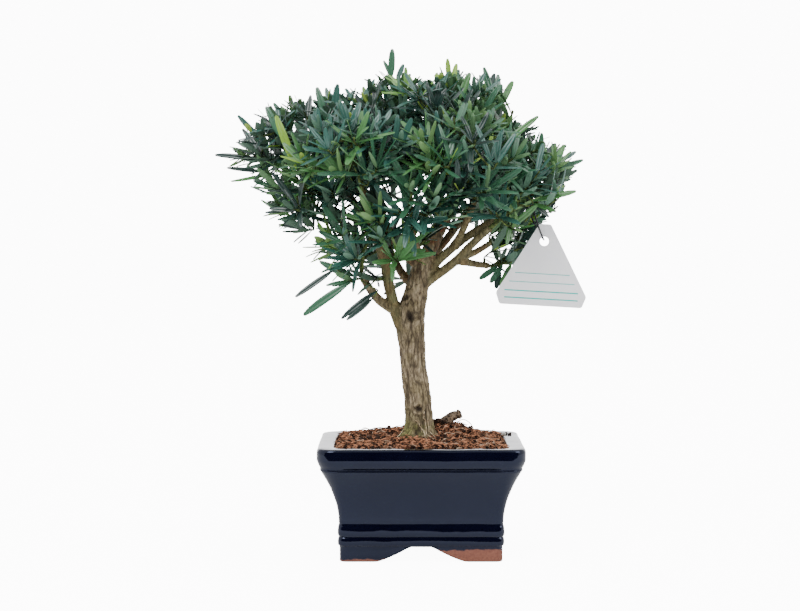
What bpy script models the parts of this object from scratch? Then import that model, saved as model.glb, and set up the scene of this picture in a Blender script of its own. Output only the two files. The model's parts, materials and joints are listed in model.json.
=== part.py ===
"""A small podocarpus trained as a bonsai, in a glazed rectangular pot with a hanging tag.

Lengths are in metres and +Z is up. The pot is modelled about its own middle with its feet on
Z = 0 and its front towards -Y. The whole bonsai then hangs from one empty, which sets the middle
of its outer box over the origin.
"""

import math
import random

import bmesh
import bpy
from mathutils import Vector

MM = 0.001
GAP = 0.3 * MM
GOLDEN_ANGLE = math.radians(137.5)

# Pot, a press-moulded stoneware tray
POT_WIDTH = 150 * MM
POT_DEPTH = 120 * MM
POT_HEIGHT = 84 * MM
POT_CORNER_RADIUS = 10 * MM
POT_CORNER_STEPS = 3
LEAST_CORNER_RADIUS = 4 * MM
CORNER_SHRINK = 0.25
RIM_BAND_BOTTOM = 75.4 * MM
RIM_EDGE_RADIUS = 1.2 * MM
RIM_TOP_WIDTH = 12.5 * MM
COVE_TOP = 70.1 * MM
COVE_TOP_INSET = 2.3 * MM
COVE_BOTTOM = 29.4 * MM
COVE_BOTTOM_INSET = 15.9 * MM
COVE_POWER = 1.85
COVE_STEPS = 6
UPPER_BAND_MIDDLE = 23.8 * MM
LOWER_BAND_MIDDLE = 17.1 * MM
BAND_HALF_HEIGHT = 3.0 * MM
LOWER_BAND_HALF_HEIGHT = 2.0 * MM
BAND_INSET = 15.0 * MM
BAND_GROOVE_INSET = 15.8 * MM
FOOT_TOP = 12.6 * MM
FOOT_INSET = 17.2 * MM
FLOOR_TOP = 18.0 * MM
INSIDE_BOTTOM_INSET = 23.0 * MM

# Arches that part the four feet
ARCH_HEIGHT = 10.9 * MM
ARCH_FLAT_HALF_WIDTH = 8.0 * MM
ARCH_FOOT_HALF_WIDTH = 33.0 * MM
ARCH_POWER = 1.3
ARCH_STEPS = 5
SIDE_ARCH_SHARE = 0.72
CUTTER_OVERSHOOT = 5.0 * MM

# Soil, heaped round the trunk
SOIL_EDGE_LEVEL = 82.2 * MM
SOIL_LEVEL = 84.4 * MM
SOIL_EDGE_WIDTH = 6.0 * MM
SOIL_RING_SHARES = (0.99, 0.88, 0.74, 0.60, 0.46, 0.32, 0.18)
SOIL_MOUNDS = (
    # middle x, middle y, half width, half depth, height
    (19 * MM, 21 * MM, 22 * MM, 19 * MM, 10.5 * MM),
    (-24 * MM, 25 * MM, 24 * MM, 16 * MM, 4.5 * MM),
    (-2 * MM, -4 * MM, 20 * MM, 16 * MM, 3.5 * MM),
)

# Trunk and leader, one line of points in mm with the wood's radius at each
TRUNK_FOOT = 82.0 * MM
TRUNK_ROUTE = (
    (-0.9, 0.0, 81.8, 9.9),
    (-1.0, 0.0, 93.8, 9.8),
    (-2.0, 0.0, 113.8, 9.4),
    (-5.0, 0.0, 136.8, 9.0),
    (-6.6, 0.0, 154.8, 9.2),
    (-7.4, 0.0, 167.8, 9.8),
    (-6.8, 0.0, 180.8, 9.3),
)
LEADER_ROUTE = (
    (-3.0, 0.0, 195.8, 8.1),
    (0.1, 0.0, 209.8, 6.8),
    (5.2, 0.5, 222.2, 5.4),
    (11.2, 1.0, 236.3, 4.5),
    (19.0, 3.0, 251.3, 4.0),
    (26.5, 4.0, 264.3, 3.3),
    (30.5, 4.0, 278.8, 2.7),
    (28.5, 3.0, 298.8, 2.2),
)
TRUNK_SIDES = 14
LEADER_SIDES = 10
BOUGH_SIDES = 7
ROUTE_STEPS = 2
ROOT_FLARE = 0.95
ROOT_FLARE_HEIGHT = 11.0 * MM
ROOT_COUNT = 5
ROOT_RIDGE = 0.22
ROOT_TURN = 0.6

# Boughs: the limb each springs from, and its line in mm with the wood's radius
BOUGHS = {
    "bough_left_upright": (
        "trunk",
        (
            (-10.5, -2.0, 161.8, 4.4),
            (-17.6, -2.5, 177.3, 4.0),
            (-21.4, -2.5, 190.8, 3.5),
            (-24.9, -3.0, 206.3, 3.3),
            (-28.6, -5.0, 227.8, 2.7),
            (-43.5, -8.0, 244.8, 1.9),
        ),
    ),
    "bough_left_low": (
        "bough_left_upright",
        (
            (-20.0, -2.5, 184.3, 2.9),
            (-28.8, -4.0, 187.2, 2.8),
            (-34.4, -7.5, 193.0, 2.6),
            (-39.4, -12.0, 200.2, 2.3),
            (-42.8, -16.5, 206.0, 2.0),
        ),
    ),
    "bough_front_left": (
        "bough_left_upright",
        (
            (-27.0, -4.0, 217.8, 2.3),
            (-32.0, -18.0, 231.8, 2.2),
            (-38.0, -35.0, 252.8, 2.0),
            (-42.0, -49.0, 270.3, 1.8),
        ),
    ),
    "bough_centre_left": (
        "leader",
        (
            (1.5, 0.0, 214.3, 3.6),
            (-8.7, -0.5, 220.8, 3.2),
            (-19.1, 1.0, 231.3, 2.9),
            (-26.5, 5.0, 246.8, 2.6),
            (-33.0, 8.0, 264.8, 2.2),
            (-37.0, 8.0, 281.8, 1.9),
        ),
    ),
    "bough_left": (
        "bough_centre_left",
        (
            (-19.5, 1.0, 231.8, 2.3),
            (-31.0, 2.5, 240.8, 2.2),
            (-46.0, 3.5, 256.8, 2.0),
            (-57.0, 3.0, 272.8, 1.8),
            (-65.0, 1.0, 284.8, 1.7),
        ),
    ),
    "bough_back_left": (
        "leader",
        (
            (-2.0, 2.0, 197.8, 2.9),
            (-11.7, 10.0, 205.3, 2.6),
            (-21.0, 23.0, 220.8, 2.3),
            (-27.5, 34.0, 239.8, 2.0),
            (-32.0, 42.0, 258.8, 1.8),
        ),
    ),
    "bough_back_right": (
        "leader",
        (
            (3.0, 2.0, 215.8, 2.9),
            (12.5, 16.0, 225.3, 2.6),
            (25.0, 31.0, 239.8, 2.2),
            (37.0, 43.0, 256.8, 1.8),
        ),
    ),
    "bough_front": (
        "leader",
        (
            (3.5, -1.0, 217.8, 2.7),
            (-0.5, -15.0, 222.8, 2.4),
            (-4.5, -26.0, 231.3, 2.1),
            (-7.0, -34.5, 240.3, 1.8),
        ),
    ),
    "bough_right_upper": (
        "leader",
        (
            (5.5, 0.0, 210.8, 2.8),
            (15.2, -2.0, 220.4, 2.6),
            (30.8, -4.0, 233.4, 2.4),
            (46.5, -7.0, 243.8, 2.1),
            (60.0, -11.0, 252.8, 2.0),
            (73.0, -13.0, 260.3, 1.9),
            (85.0, -10.5, 268.8, 1.8),
        ),
    ),
    "bough_front_right": (
        "bough_right_upper",
        (
            (25.0, -3.2, 228.6, 2.0),
            (30.0, -15.0, 239.3, 1.9),
            (35.0, -29.0, 252.3, 1.8),
            (38.0, -40.0, 262.8, 1.7),
        ),
    ),
    "bough_right_lower": (
        "leader",
        (
            (1.0, -1.0, 200.8, 3.0),
            (11.4, -3.0, 207.1, 2.8),
            (25.6, -6.0, 217.8, 2.5),
            (39.0, -11.0, 231.8, 2.2),
            (51.0, -17.5, 242.8, 1.9),
        ),
    ),
    "bough_right_low": (
        "bough_right_lower",
        (
            (27.5, -6.5, 218.8, 1.9),
            (38.5, -3.0, 216.0, 1.8),
            (50.5, 3.0, 214.2, 1.6),
        ),
    ),
    "bough_right_middle": (
        "bough_right_lower",
        (
            (30.5, -7.5, 221.8, 1.7),
            (39.5, -6.0, 224.1, 1.6),
            (52.0, 0.0, 231.3, 1.4),
        ),
    ),
    "bough_top_right": (
        "leader",
        (
            (23.0, 3.5, 258.8, 2.5),
            (34.5, 5.0, 269.3, 2.2),
            (46.0, 6.0, 281.8, 2.0),
            (55.0, 6.0, 293.3, 1.8),
        ),
    ),
}

# Masses of foliage in mm: the bough that feeds each, its middle, its half sizes and its furthest tips
MASSES = {
    "foliage_top": (
        "leader",
        (16, 0, 325),
        (48, 46, 32),
        ((20, -6, 369), (54, 4, 361), (-20, 2, 376)),
    ),
    "foliage_top_left": (
        "bough_centre_left",
        (-36, 8, 316),
        (42, 42, 34),
        ((-47, 0, 351), (-66, 4, 346)),
    ),
    "foliage_top_right": (
        "bough_top_right",
        (62, 6, 302),
        (37, 42, 34),
        ((62, 2, 344),),
    ),
    "foliage_left": (
        "bough_left",
        (-97, 0, 302),
        (41, 38, 31),
        ((-154, -4, 300), (-104, 0, 339), (-84, 4, 342)),
    ),
    "foliage_right": (
        "bough_right_upper",
        (95, 4, 280),
        (27, 38, 36),
        ((123, 2, 296), (107, 6, 305)),
    ),
    "foliage_middle_left": (
        "bough_left_upright",
        (-75, -8, 263),
        (36, 34, 30),
        ((-108, -10, 262), (-84, -14, 235)),
    ),
    "foliage_low_left": (
        "bough_left_low",
        (-42, -30, 228),
        (32, 28, 26),
        ((-87, -38, 181), (-55, -36, 175)),
    ),
    "foliage_front": (
        "bough_front",
        (-7, -50, 262),
        (35, 30, 30),
        ((-9, -80, 252),),
    ),
    "foliage_front_left": (
        "bough_front_left",
        (-50, -64, 296),
        (40, 34, 30),
        ((-66, -104, 298),),
    ),
    "foliage_front_right": (
        "bough_front_right",
        (27, -66, 292),
        (40, 34, 32),
        ((34, -104, 298),),
    ),
    "foliage_right_middle": (
        "bough_right_lower",
        (70, -34, 260),
        (34, 30, 26),
        ((99, -54, 254),),
    ),
    "foliage_low_right": (
        "bough_right_low",
        (75, 8, 226),
        (27, 25, 25),
        ((92, 8, 210), (50, 10, 199)),
    ),
    "foliage_back_left": (
        "bough_back_left",
        (-36, 64, 292),
        (46, 40, 36),
        ((-60, 108, 294), (-42, 88, 330)),
    ),
    "foliage_back_right": (
        "bough_back_right",
        (54, 62, 286),
        (44, 40, 36),
        ((66, 108, 284), (60, 86, 324)),
    ),
}

# Stems, twigs and leaves
SHOOT_SPACING = 4.7 * MM
LEAVES_PER_SHOOT = 9
LEAFY_SHARE = (0.45, 0.96)
STEM_RADIUS = 1.9 * MM
STEM_END_RADIUS = 1.5 * MM
STEM_STRAIGHT = 3.0 * MM
STEM_SHARE = 0.85
STEM_KNOTS = 14
FIRST_STEM_KNOT = 5
TWIG_RADIUS = 1.4 * MM
TWIG_END_RADIUS = 1.0 * MM
TWIG_TAPER = 0.9
TWIG_SIDES = 3
TWIG_KNOT_SHARES = (0.3, 0.45, 0.6)
SHOOT_REACH = (0.50, 0.74)
SHOOT_UPTURN = 0.35
LEAF_LENGTH = (31 * MM, 40 * MM)
LEAF_WIDTH = 12.5 * MM
LEAF_THICKNESS = 0.9 * MM
LEAF_WIDEST = 0.38
LEAF_SINK = 0.2 * MM
LEAF_OPENING = (62, 18)
LEAF_OPENING_SPREAD = 6
LEAF_TRIES = ((1.0, 0), (1.0, 55), (0.85, -55), (0.65, 0))
SPACE_OVERSHOOT = 1.05
TIP_OVERSHOOT = 2.5
TIP_TWIG_END = 0.8 * MM
TIP_OPENING = math.radians(34)
TIP_SIDE_LEAVES = ((1.5 * MM, 0.3), (3.0 * MM, 2.6), (4.5 * MM, 4.7))
CELL_MARGIN = 0.5 * MM
LIMB_MARGIN = 1.3 * MM
TEST_STEP = 3.0 * MM
CROWDING = 2.6 * MM
CROWDING_START = 4.0 * MM
SEED = 7

# Tag and the wire that ties it to the upper right bough
TAG_HEIGHT = 60.0 * MM
TAG_TOP_HALF_WIDTH = 4.2 * MM
TAG_SIDE_HALF_WIDTH = 33.2 * MM
TAG_FOOT_HALF_WIDTH = 30.2 * MM
TAG_CORNER_HEIGHT = 8.2 * MM
TAG_THICKNESS = 0.8 * MM
TAG_TOP_MIDDLE = Vector((90.8, -24.0, 245.5)) * MM
TAG_TURN = math.radians(3.3)
TAG_HOLE_DROP = 12.6 * MM
TAG_HOLE_RADIUS = 3.4 * MM
TAG_HOLE_SIDES = 16
TAG_CLEARANCE = 3.0 * MM
TIE_RADIUS = 0.45 * MM
TIE_SIDES = 5
TIE_LOOP = (
    (79.4, -12.4, 268.3),
    (81.0, -17.0, 264.9),
    (82.6, -20.4, 255.5),
    (85.4, -24.8, 244.5),
    (88.4, -26.6, 236.5),
    (89.8, -24.0, 234.1),
    (88.2, -21.2, 236.5),
    (83.6, -15.5, 245.5),
    (79.6, -9.4, 255.5),
    (78.4, -7.6, 263.5),
)
TIE_STEPS = 2

LOOKS = {
    # colour, roughness, metallic
    "glaze": ((0.012, 0.014, 0.035), 0.12, 0.0),
    "soil": ((0.22, 0.085, 0.04), 0.95, 0.0),
    "bark": ((0.19, 0.15, 0.095), 0.85, 0.0),
    "foliage": ((0.035, 0.085, 0.055), 0.45, 0.0),
    "tag_plastic": ((0.74, 0.74, 0.79), 0.35, 0.0),
    "tie_wire": ((0.06, 0.06, 0.065), 0.45, 0.0),
}


def clear_scene():
    for item in list(bpy.data.objects):
        bpy.data.objects.remove(item)


def make_material(name):
    colour, roughness, metallic = LOOKS[name]
    material = bpy.data.materials.new(name)
    material.use_nodes = True
    shader = material.node_tree.nodes["Principled BSDF"]
    shader.inputs["Base Color"].default_value = (*colour, 1.0)
    shader.inputs["Roughness"].default_value = roughness
    shader.inputs["Metallic"].default_value = metallic
    return material


def add_object(name, vertices, faces, look):
    mesh = bpy.data.meshes.new(name)
    mesh.from_pydata([tuple(point) for point in vertices], [], faces)
    mesh.update()
    item = bpy.data.objects.new(name, mesh)
    bpy.context.scene.collection.objects.link(item)
    item.data.materials.append(bpy.data.materials.get(look) or make_material(look))
    return item


def loft(rings, closed=False):
    """Vertices and faces of a skin over rings of equally many points. Its ends are flat unless closed."""
    count = len(rings[0])
    vertices = [point for ring in rings for point in ring]
    faces = []
    spans = len(rings) if closed else len(rings) - 1
    for row in range(spans):
        low = row * count
        high = ((row + 1) % len(rings)) * count
        for step in range(count):
            following = (step + 1) % count
            faces.append((low + step, low + following, high + following, high + step))
    if not closed:
        last = (len(rings) - 1) * count
        faces.append(tuple(reversed(range(count))))
        faces.append(tuple(range(last, last + count)))
    return vertices, faces


def face_outwards(item):
    work = bmesh.new()
    work.from_mesh(item.data)
    bmesh.ops.recalc_face_normals(work, faces=work.faces)
    work.to_mesh(item.data)
    work.free()


def shade_round(item, degrees=40):
    item.data.shade_smooth()
    item.data.set_sharp_from_angle(angle=math.radians(degrees))


def evaluated_mesh(item):
    graph = bpy.context.evaluated_depsgraph_get()
    return bpy.data.meshes.new_from_object(item.evaluated_get(graph))


def apply_modifiers(item):
    finished = evaluated_mesh(item)
    rough = item.data
    item.modifiers.clear()
    item.data = finished
    bpy.data.meshes.remove(rough)


def keep_main_body(item):
    """Fills sealed hollows and drops loose scraps by keeping only the largest connected skin."""
    work = bmesh.new()
    work.from_mesh(item.data)
    unseen = set(work.verts)
    bodies = []
    while unseen:
        edge = [unseen.pop()]
        body = list(edge)
        while edge:
            for link in edge.pop().link_edges:
                for vertex in link.verts:
                    if vertex in unseen:
                        unseen.remove(vertex)
                        edge.append(vertex)
                        body.append(vertex)
        bodies.append(body)
    bodies.sort(key=len)
    for body in bodies[:-1]:
        bmesh.ops.delete(work, geom=body, context="VERTS")
    work.to_mesh(item.data)
    work.free()


def cut(item, cutter):
    """Takes the cutter away from the item, then removes the cutter."""
    modifier = item.modifiers.new("cut", "BOOLEAN")
    modifier.operation = "DIFFERENCE"
    modifier.solver = "EXACT"
    modifier.object = cutter
    apply_modifiers(item)
    bpy.data.objects.remove(cutter)


def rounded_rectangle(half_width, half_depth, radius, height):
    """One ring of points round a rectangle with rounded corners, at a height."""
    ring = []
    for corner in range(4):
        start = corner * math.pi / 2
        middle_x = (half_width - radius) * (1 if corner in (0, 3) else -1)
        middle_y = (half_depth - radius) * (1 if corner in (0, 1) else -1)
        for step in range(POT_CORNER_STEPS + 1):
            angle = start + step * math.pi / 2 / POT_CORNER_STEPS
            x = middle_x + radius * math.cos(angle)
            y = middle_y + radius * math.sin(angle)
            ring.append(Vector((x, y, height)))
    return ring


def pot_ring(inset, height):
    radius = max(POT_CORNER_RADIUS - CORNER_SHRINK * inset, LEAST_CORNER_RADIUS)
    return rounded_rectangle(POT_WIDTH / 2 - inset, POT_DEPTH / 2 - inset, radius, height)


def inside_inset(height):
    """How far the pot's inner wall stands in from the rim's outer face."""
    share = (POT_HEIGHT - height) / (POT_HEIGHT - FLOOR_TOP)
    return RIM_TOP_WIDTH + (INSIDE_BOTTOM_INSET - RIM_TOP_WIDTH) * share


def cove_inset(share):
    """The hollow curve of the wall, from under the rim, 0, to the base mouldings, 1."""
    return COVE_TOP_INSET + (COVE_BOTTOM_INSET - COVE_TOP_INSET) * (1 - (1 - share) ** COVE_POWER)


def pot_outline():
    """Pairs of inset and height, from the ground up the outside and down into the pot."""
    outline = [(FOOT_INSET, 0.0), (FOOT_INSET, FOOT_TOP)]
    for middle, half_height in (
        (LOWER_BAND_MIDDLE, LOWER_BAND_HALF_HEIGHT),
        (UPPER_BAND_MIDDLE, BAND_HALF_HEIGHT),
    ):
        outline.append((BAND_GROOVE_INSET, middle - half_height))
        outline.append((BAND_INSET, middle - half_height / 2))
        outline.append((BAND_INSET, middle + half_height / 2))
    for step in range(COVE_STEPS + 1):
        share = 1 - step / COVE_STEPS
        height = COVE_TOP + (COVE_BOTTOM - COVE_TOP) * share
        outline.append((cove_inset(share), height))
    outline.append((0.0, RIM_BAND_BOTTOM))
    outline.append((0.0, POT_HEIGHT - RIM_EDGE_RADIUS))
    outline.append((RIM_EDGE_RADIUS, POT_HEIGHT))
    outline.append((RIM_TOP_WIDTH, POT_HEIGHT))
    outline.append((INSIDE_BOTTOM_INSET, FLOOR_TOP))
    return outline


def arch_cutter(name, flat_half, foot_half, half_length, along_y):
    """A bar with the arch's outline that runs right through under the pot."""
    outline = [(-foot_half, -CUTTER_OVERSHOOT)]
    for step in range(ARCH_STEPS + 1):
        share = 1 - step / ARCH_STEPS
        across = flat_half + (foot_half - flat_half) * share
        outline.append((-across, ARCH_HEIGHT * (1 - share) ** ARCH_POWER))
    outline += [(-across, height) for across, height in reversed(outline)]
    rings = []
    for end in (-half_length, half_length):
        if along_y:
            rings.append([Vector((across, end, height)) for across, height in outline])
        else:
            rings.append([Vector((end, across, height)) for across, height in outline])
    cutter = add_object(name, *loft(rings), "glaze")
    cutter.hide_render = True
    cutter.display_type = "WIRE"
    face_outwards(cutter)
    return cutter


def make_pot():
    rings = [pot_ring(inset, height) for inset, height in pot_outline()]
    pot = add_object("pot", *loft(rings), "glaze")
    face_outwards(pot)
    reach = POT_WIDTH / 2
    cut(pot, arch_cutter("front_arch", ARCH_FLAT_HALF_WIDTH, ARCH_FOOT_HALF_WIDTH, reach, True))
    side_flat = ARCH_FLAT_HALF_WIDTH * SIDE_ARCH_SHARE
    side_foot = ARCH_FOOT_HALF_WIDTH * SIDE_ARCH_SHARE
    cut(pot, arch_cutter("side_arch", side_flat, side_foot, reach, False))
    shade_round(pot, 30)
    return pot


def soil_height(x, y, edge_distance):
    edge_share = min(edge_distance / SOIL_EDGE_WIDTH, 1.0)
    height = SOIL_EDGE_LEVEL + (SOIL_LEVEL - SOIL_EDGE_LEVEL) * edge_share
    for middle_x, middle_y, half_width, half_depth, rise in SOIL_MOUNDS:
        away = ((x - middle_x) / half_width) ** 2 + ((y - middle_y) / half_depth) ** 2
        height += rise * math.exp(-away) * edge_share
    return height


def make_soil(trunk_cutter):
    rings = []
    for height in (FLOOR_TOP + GAP, SOIL_EDGE_LEVEL):
        inset = inside_inset(height) + GAP
        rings.append(pot_ring(inset, height))
    brim = rings[-1]
    half_width = brim[0].x
    for share in SOIL_RING_SHARES:
        ring = []
        for point in brim:
            x, y = point.x * share, point.y * share
            ring.append(Vector((x, y, soil_height(x, y, half_width * (1 - share)))))
        rings.append(ring)
    soil = add_object("soil", *loft(rings), "soil")
    work = bmesh.new()
    work.from_mesh(soil.data)
    bmesh.ops.triangulate(work, faces=work.faces)
    work.to_mesh(soil.data)
    work.free()
    face_outwards(soil)
    cut(soil, trunk_cutter)
    keep_main_body(soil)
    shade_round(soil, 60)
    return soil


def smooth_line(route, steps=ROUTE_STEPS, closed=False):
    """A Catmull-Rom curve through a route in mm. A fourth number, the radius, is carried along."""
    knots = [Vector(point) * MM for point in route]
    count = len(knots)
    line = []
    spans = count if closed else count - 1
    for span in range(spans):
        if closed:
            around = [knots[(span + shift) % count] for shift in (-1, 0, 1, 2)]
        else:
            around = [knots[min(max(span + shift, 0), count - 1)] for shift in (-1, 0, 1, 2)]
        before, start, end, after = around
        for step in range(steps):
            share = step / steps
            line.append(
                0.5
                * (
                    2 * start
                    + (end - before) * share
                    + (2 * before - 5 * start + 4 * end - after) * share**2
                    + (3 * start - before - 3 * end + after) * share**3
                )
            )
    if not closed:
        line.append(knots[-1])
    return line


def split_radius(line):
    """Parts four-number points into places and radii."""
    return [Vector(point[:3]) for point in line], [point[3] for point in line]


def headings(points, closed=False):
    count = len(points)
    found = []
    for index in range(count):
        if closed:
            ahead, behind = points[(index + 1) % count], points[index - 1]
        else:
            ahead, behind = points[min(index + 1, count - 1)], points[max(index - 1, 0)]
        found.append((ahead - behind).normalized())
    return found


def tube_rings(points, radii, sides, directions=None, closed=False, shape=None):
    """Rings square to a line. The side vector is carried along the line so that the tube doesn't twist."""
    directions = directions or headings(points, closed)
    side = directions[0].orthogonal().normalized()
    rings = []
    for point, radius, heading in zip(points, radii, directions):
        side = (side - heading * side.dot(heading)).normalized()
        other = heading.cross(side)
        ring = []
        for step in range(sides):
            angle = step * math.tau / sides
            spread = radius * (shape(point, angle) if shape else 1.0)
            ring.append(point + (side * math.cos(angle) + other * math.sin(angle)) * spread)
        rings.append(ring)
    return rings


def root_flare(point, angle):
    """How much wider the trunk is near the soil, with a ridge for each root."""
    rise = (point.z - TRUNK_FOOT) / ROOT_FLARE_HEIGHT
    flare = ROOT_FLARE * math.exp(-rise * rise)
    ridge = 1 + ROOT_RIDGE * math.cos(ROOT_COUNT * angle + ROOT_TURN)
    return 1 + flare * ridge


class Limb:
    """A tapering limb: its line, its radii, its direction at each point, and how it is drawn."""

    def __init__(self, name, points, radii, directions, sides, shape=None):
        self.name = name
        self.points = points
        self.radii = radii
        self.directions = directions
        self.sides = sides
        self.shape = shape

    def solid(self, name, growth=0.0):
        """The limb as a solid. Growth makes a larger copy, to cut a neighbour clear of it."""
        points = list(self.points)
        radii = [radius + growth for radius in self.radii]
        points[0] = points[0] - self.directions[0] * growth
        points[-1] = points[-1] + self.directions[-1] * growth
        rings = tube_rings(points, radii, self.sides, self.directions, shape=self.shape)
        item = add_object(name, *loft(rings), "bark")
        face_outwards(item)
        return item


def plan_limbs():
    """Every limb's line. The trunk and the leader share one, parted by the gap at the fork."""
    limbs = {}
    stem_line = smooth_line(TRUNK_ROUTE + LEADER_ROUTE)
    points, radii = split_radius(stem_line)
    directions = headings(points)
    directions[0] = Vector((0, 0, 1))
    fork = (len(TRUNK_ROUTE) - 1) * ROUTE_STEPS
    trunk_parts = (points[: fork + 1], radii[: fork + 1], directions[: fork + 1])
    limbs["trunk"] = Limb("trunk", *trunk_parts, TRUNK_SIDES, root_flare)
    leader_points = points[fork:]
    leader_points[0] = leader_points[0] + directions[fork] * GAP
    limbs["leader"] = Limb("leader", leader_points, radii[fork:], directions[fork:], LEADER_SIDES)
    for name, (parent, route) in BOUGHS.items():
        points, radii = split_radius(smooth_line(route))
        limbs[name] = Limb(name, points, radii, headings(points), BOUGH_SIDES)
    return limbs


def parents_of(name):
    """The limb that a bough springs from, and what carries that one."""
    chain = []
    while name in BOUGHS:
        name = BOUGHS[name][0]
        chain.append(name)
    if "leader" in chain or "trunk" in chain:
        chain = [limb for limb in chain if limb not in ("leader", "trunk")] + ["leader", "trunk"]
    return chain


def make_limb(limb, limbs):
    item = limb.solid(limb.name)
    for parent in parents_of(limb.name):
        cut(item, limbs[parent].solid(parent + "_cutter", growth=GAP))
        keep_main_body(item)
    shade_round(item, 60)
    return item


class Space:
    """The space of one mass of foliage: an ellipsoid, parted by flat planes from its neighbours."""

    def __init__(self, name, middle, half_sizes):
        self.name = name
        self.middle = Vector(middle) * MM
        self.half_sizes = Vector(half_sizes) * MM
        self.weight = (sum(self.half_sizes) / 3) ** 2

    def depth(self, point):
        """0 at the middle of the ellipsoid and 1 on its skin."""
        away = point - self.middle
        return math.sqrt(sum((away[axis] / self.half_sizes[axis]) ** 2 for axis in range(3)))

    def owns(self, point, others):
        """Whether the point lies on this side of every plane, by the margin."""
        own_power = (point - self.middle).length_squared - self.weight
        for other in others:
            if other is self:
                continue
            power = (point - other.middle).length_squared - other.weight
            if power - own_power < 2 * CELL_MARGIN * (self.middle - other.middle).length:
                return False
        return True


class Barrier:
    """What twigs and leaves keep clear of: the limbs, the tie and the tag."""

    def __init__(self, limbs):
        self.pieces = []
        for limb in limbs.values():
            self.add_line(limb.points, limb.radii)
        loop = smooth_line(TIE_LOOP, TIE_STEPS, closed=True)
        self.add_line(loop + loop[:1], [TIE_RADIUS] * (len(loop) + 1))

    def add_line(self, points, radii):
        for index in range(len(points) - 1):
            radius = max(radii[index], radii[index + 1])
            self.pieces.append((points[index], points[index + 1] - points[index], radius))

    def touches(self, point, thickness):
        for start, run, radius in self.pieces:
            share = min(max((point - start).dot(run) / run.length_squared, 0.0), 1.0)
            if (point - start - run * share).length < radius + thickness + LIMB_MARGIN:
                return True
        drop = TAG_TOP_MIDDLE.z - point.z
        near_tag = abs(point.y - TAG_TOP_MIDDLE.y) < TAG_CLEARANCE + thickness
        beside_tag = abs(point.x - TAG_TOP_MIDDLE.x) < TAG_SIDE_HALF_WIDTH + 2 * TAG_CLEARANCE
        return near_tag and beside_tag and -TAG_CLEARANCE < drop < TAG_HEIGHT + 2 * TAG_CLEARANCE


def even_directions(count, turn):
    """Directions spread evenly over a ball, along a spiral from its top to its bottom."""
    found = []
    for index in range(count):
        height = 1 - (2 * index + 1) / count
        across = math.sqrt(1 - height * height)
        angle = index * GOLDEN_ANGLE + turn
        found.append(Vector((across * math.cos(angle), across * math.sin(angle), height)))
    return found


def samples(start, end):
    count = max(2, int((end - start).length / TEST_STEP) + 1)
    return [start.lerp(end, step / count) for step in range(count + 1)]


def twig_solid(start, end, start_radius, end_radius, turn):
    """A tapering twig with a few flat sides."""
    heading = (end - start).normalized()
    side = heading.orthogonal().normalized()
    other = heading.cross(side)
    rings = []
    for point, radius in ((start, start_radius), (end, end_radius)):
        ring = []
        for step in range(TWIG_SIDES):
            angle = turn + step * math.tau / TWIG_SIDES
            ring.append(point + (side * math.cos(angle) + other * math.sin(angle)) * radius)
        rings.append(ring)
    return loft(rings)


def leaf_corners(root, heading, across, length):
    """Five corners of a blade: its root, an edge, the raised midrib, the other edge, and its tip."""
    middle = root + heading * length * LEAF_WIDEST
    normal = heading.cross(across)
    return [
        root,
        middle + across * LEAF_WIDTH / 2,
        middle + normal * LEAF_THICKNESS,
        middle - across * LEAF_WIDTH / 2,
        root + heading * length,
    ]


LEAF_FACES = [(0, 1, 2), (0, 2, 3), (0, 3, 1), (4, 2, 1), (4, 3, 2), (4, 1, 3)]


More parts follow.
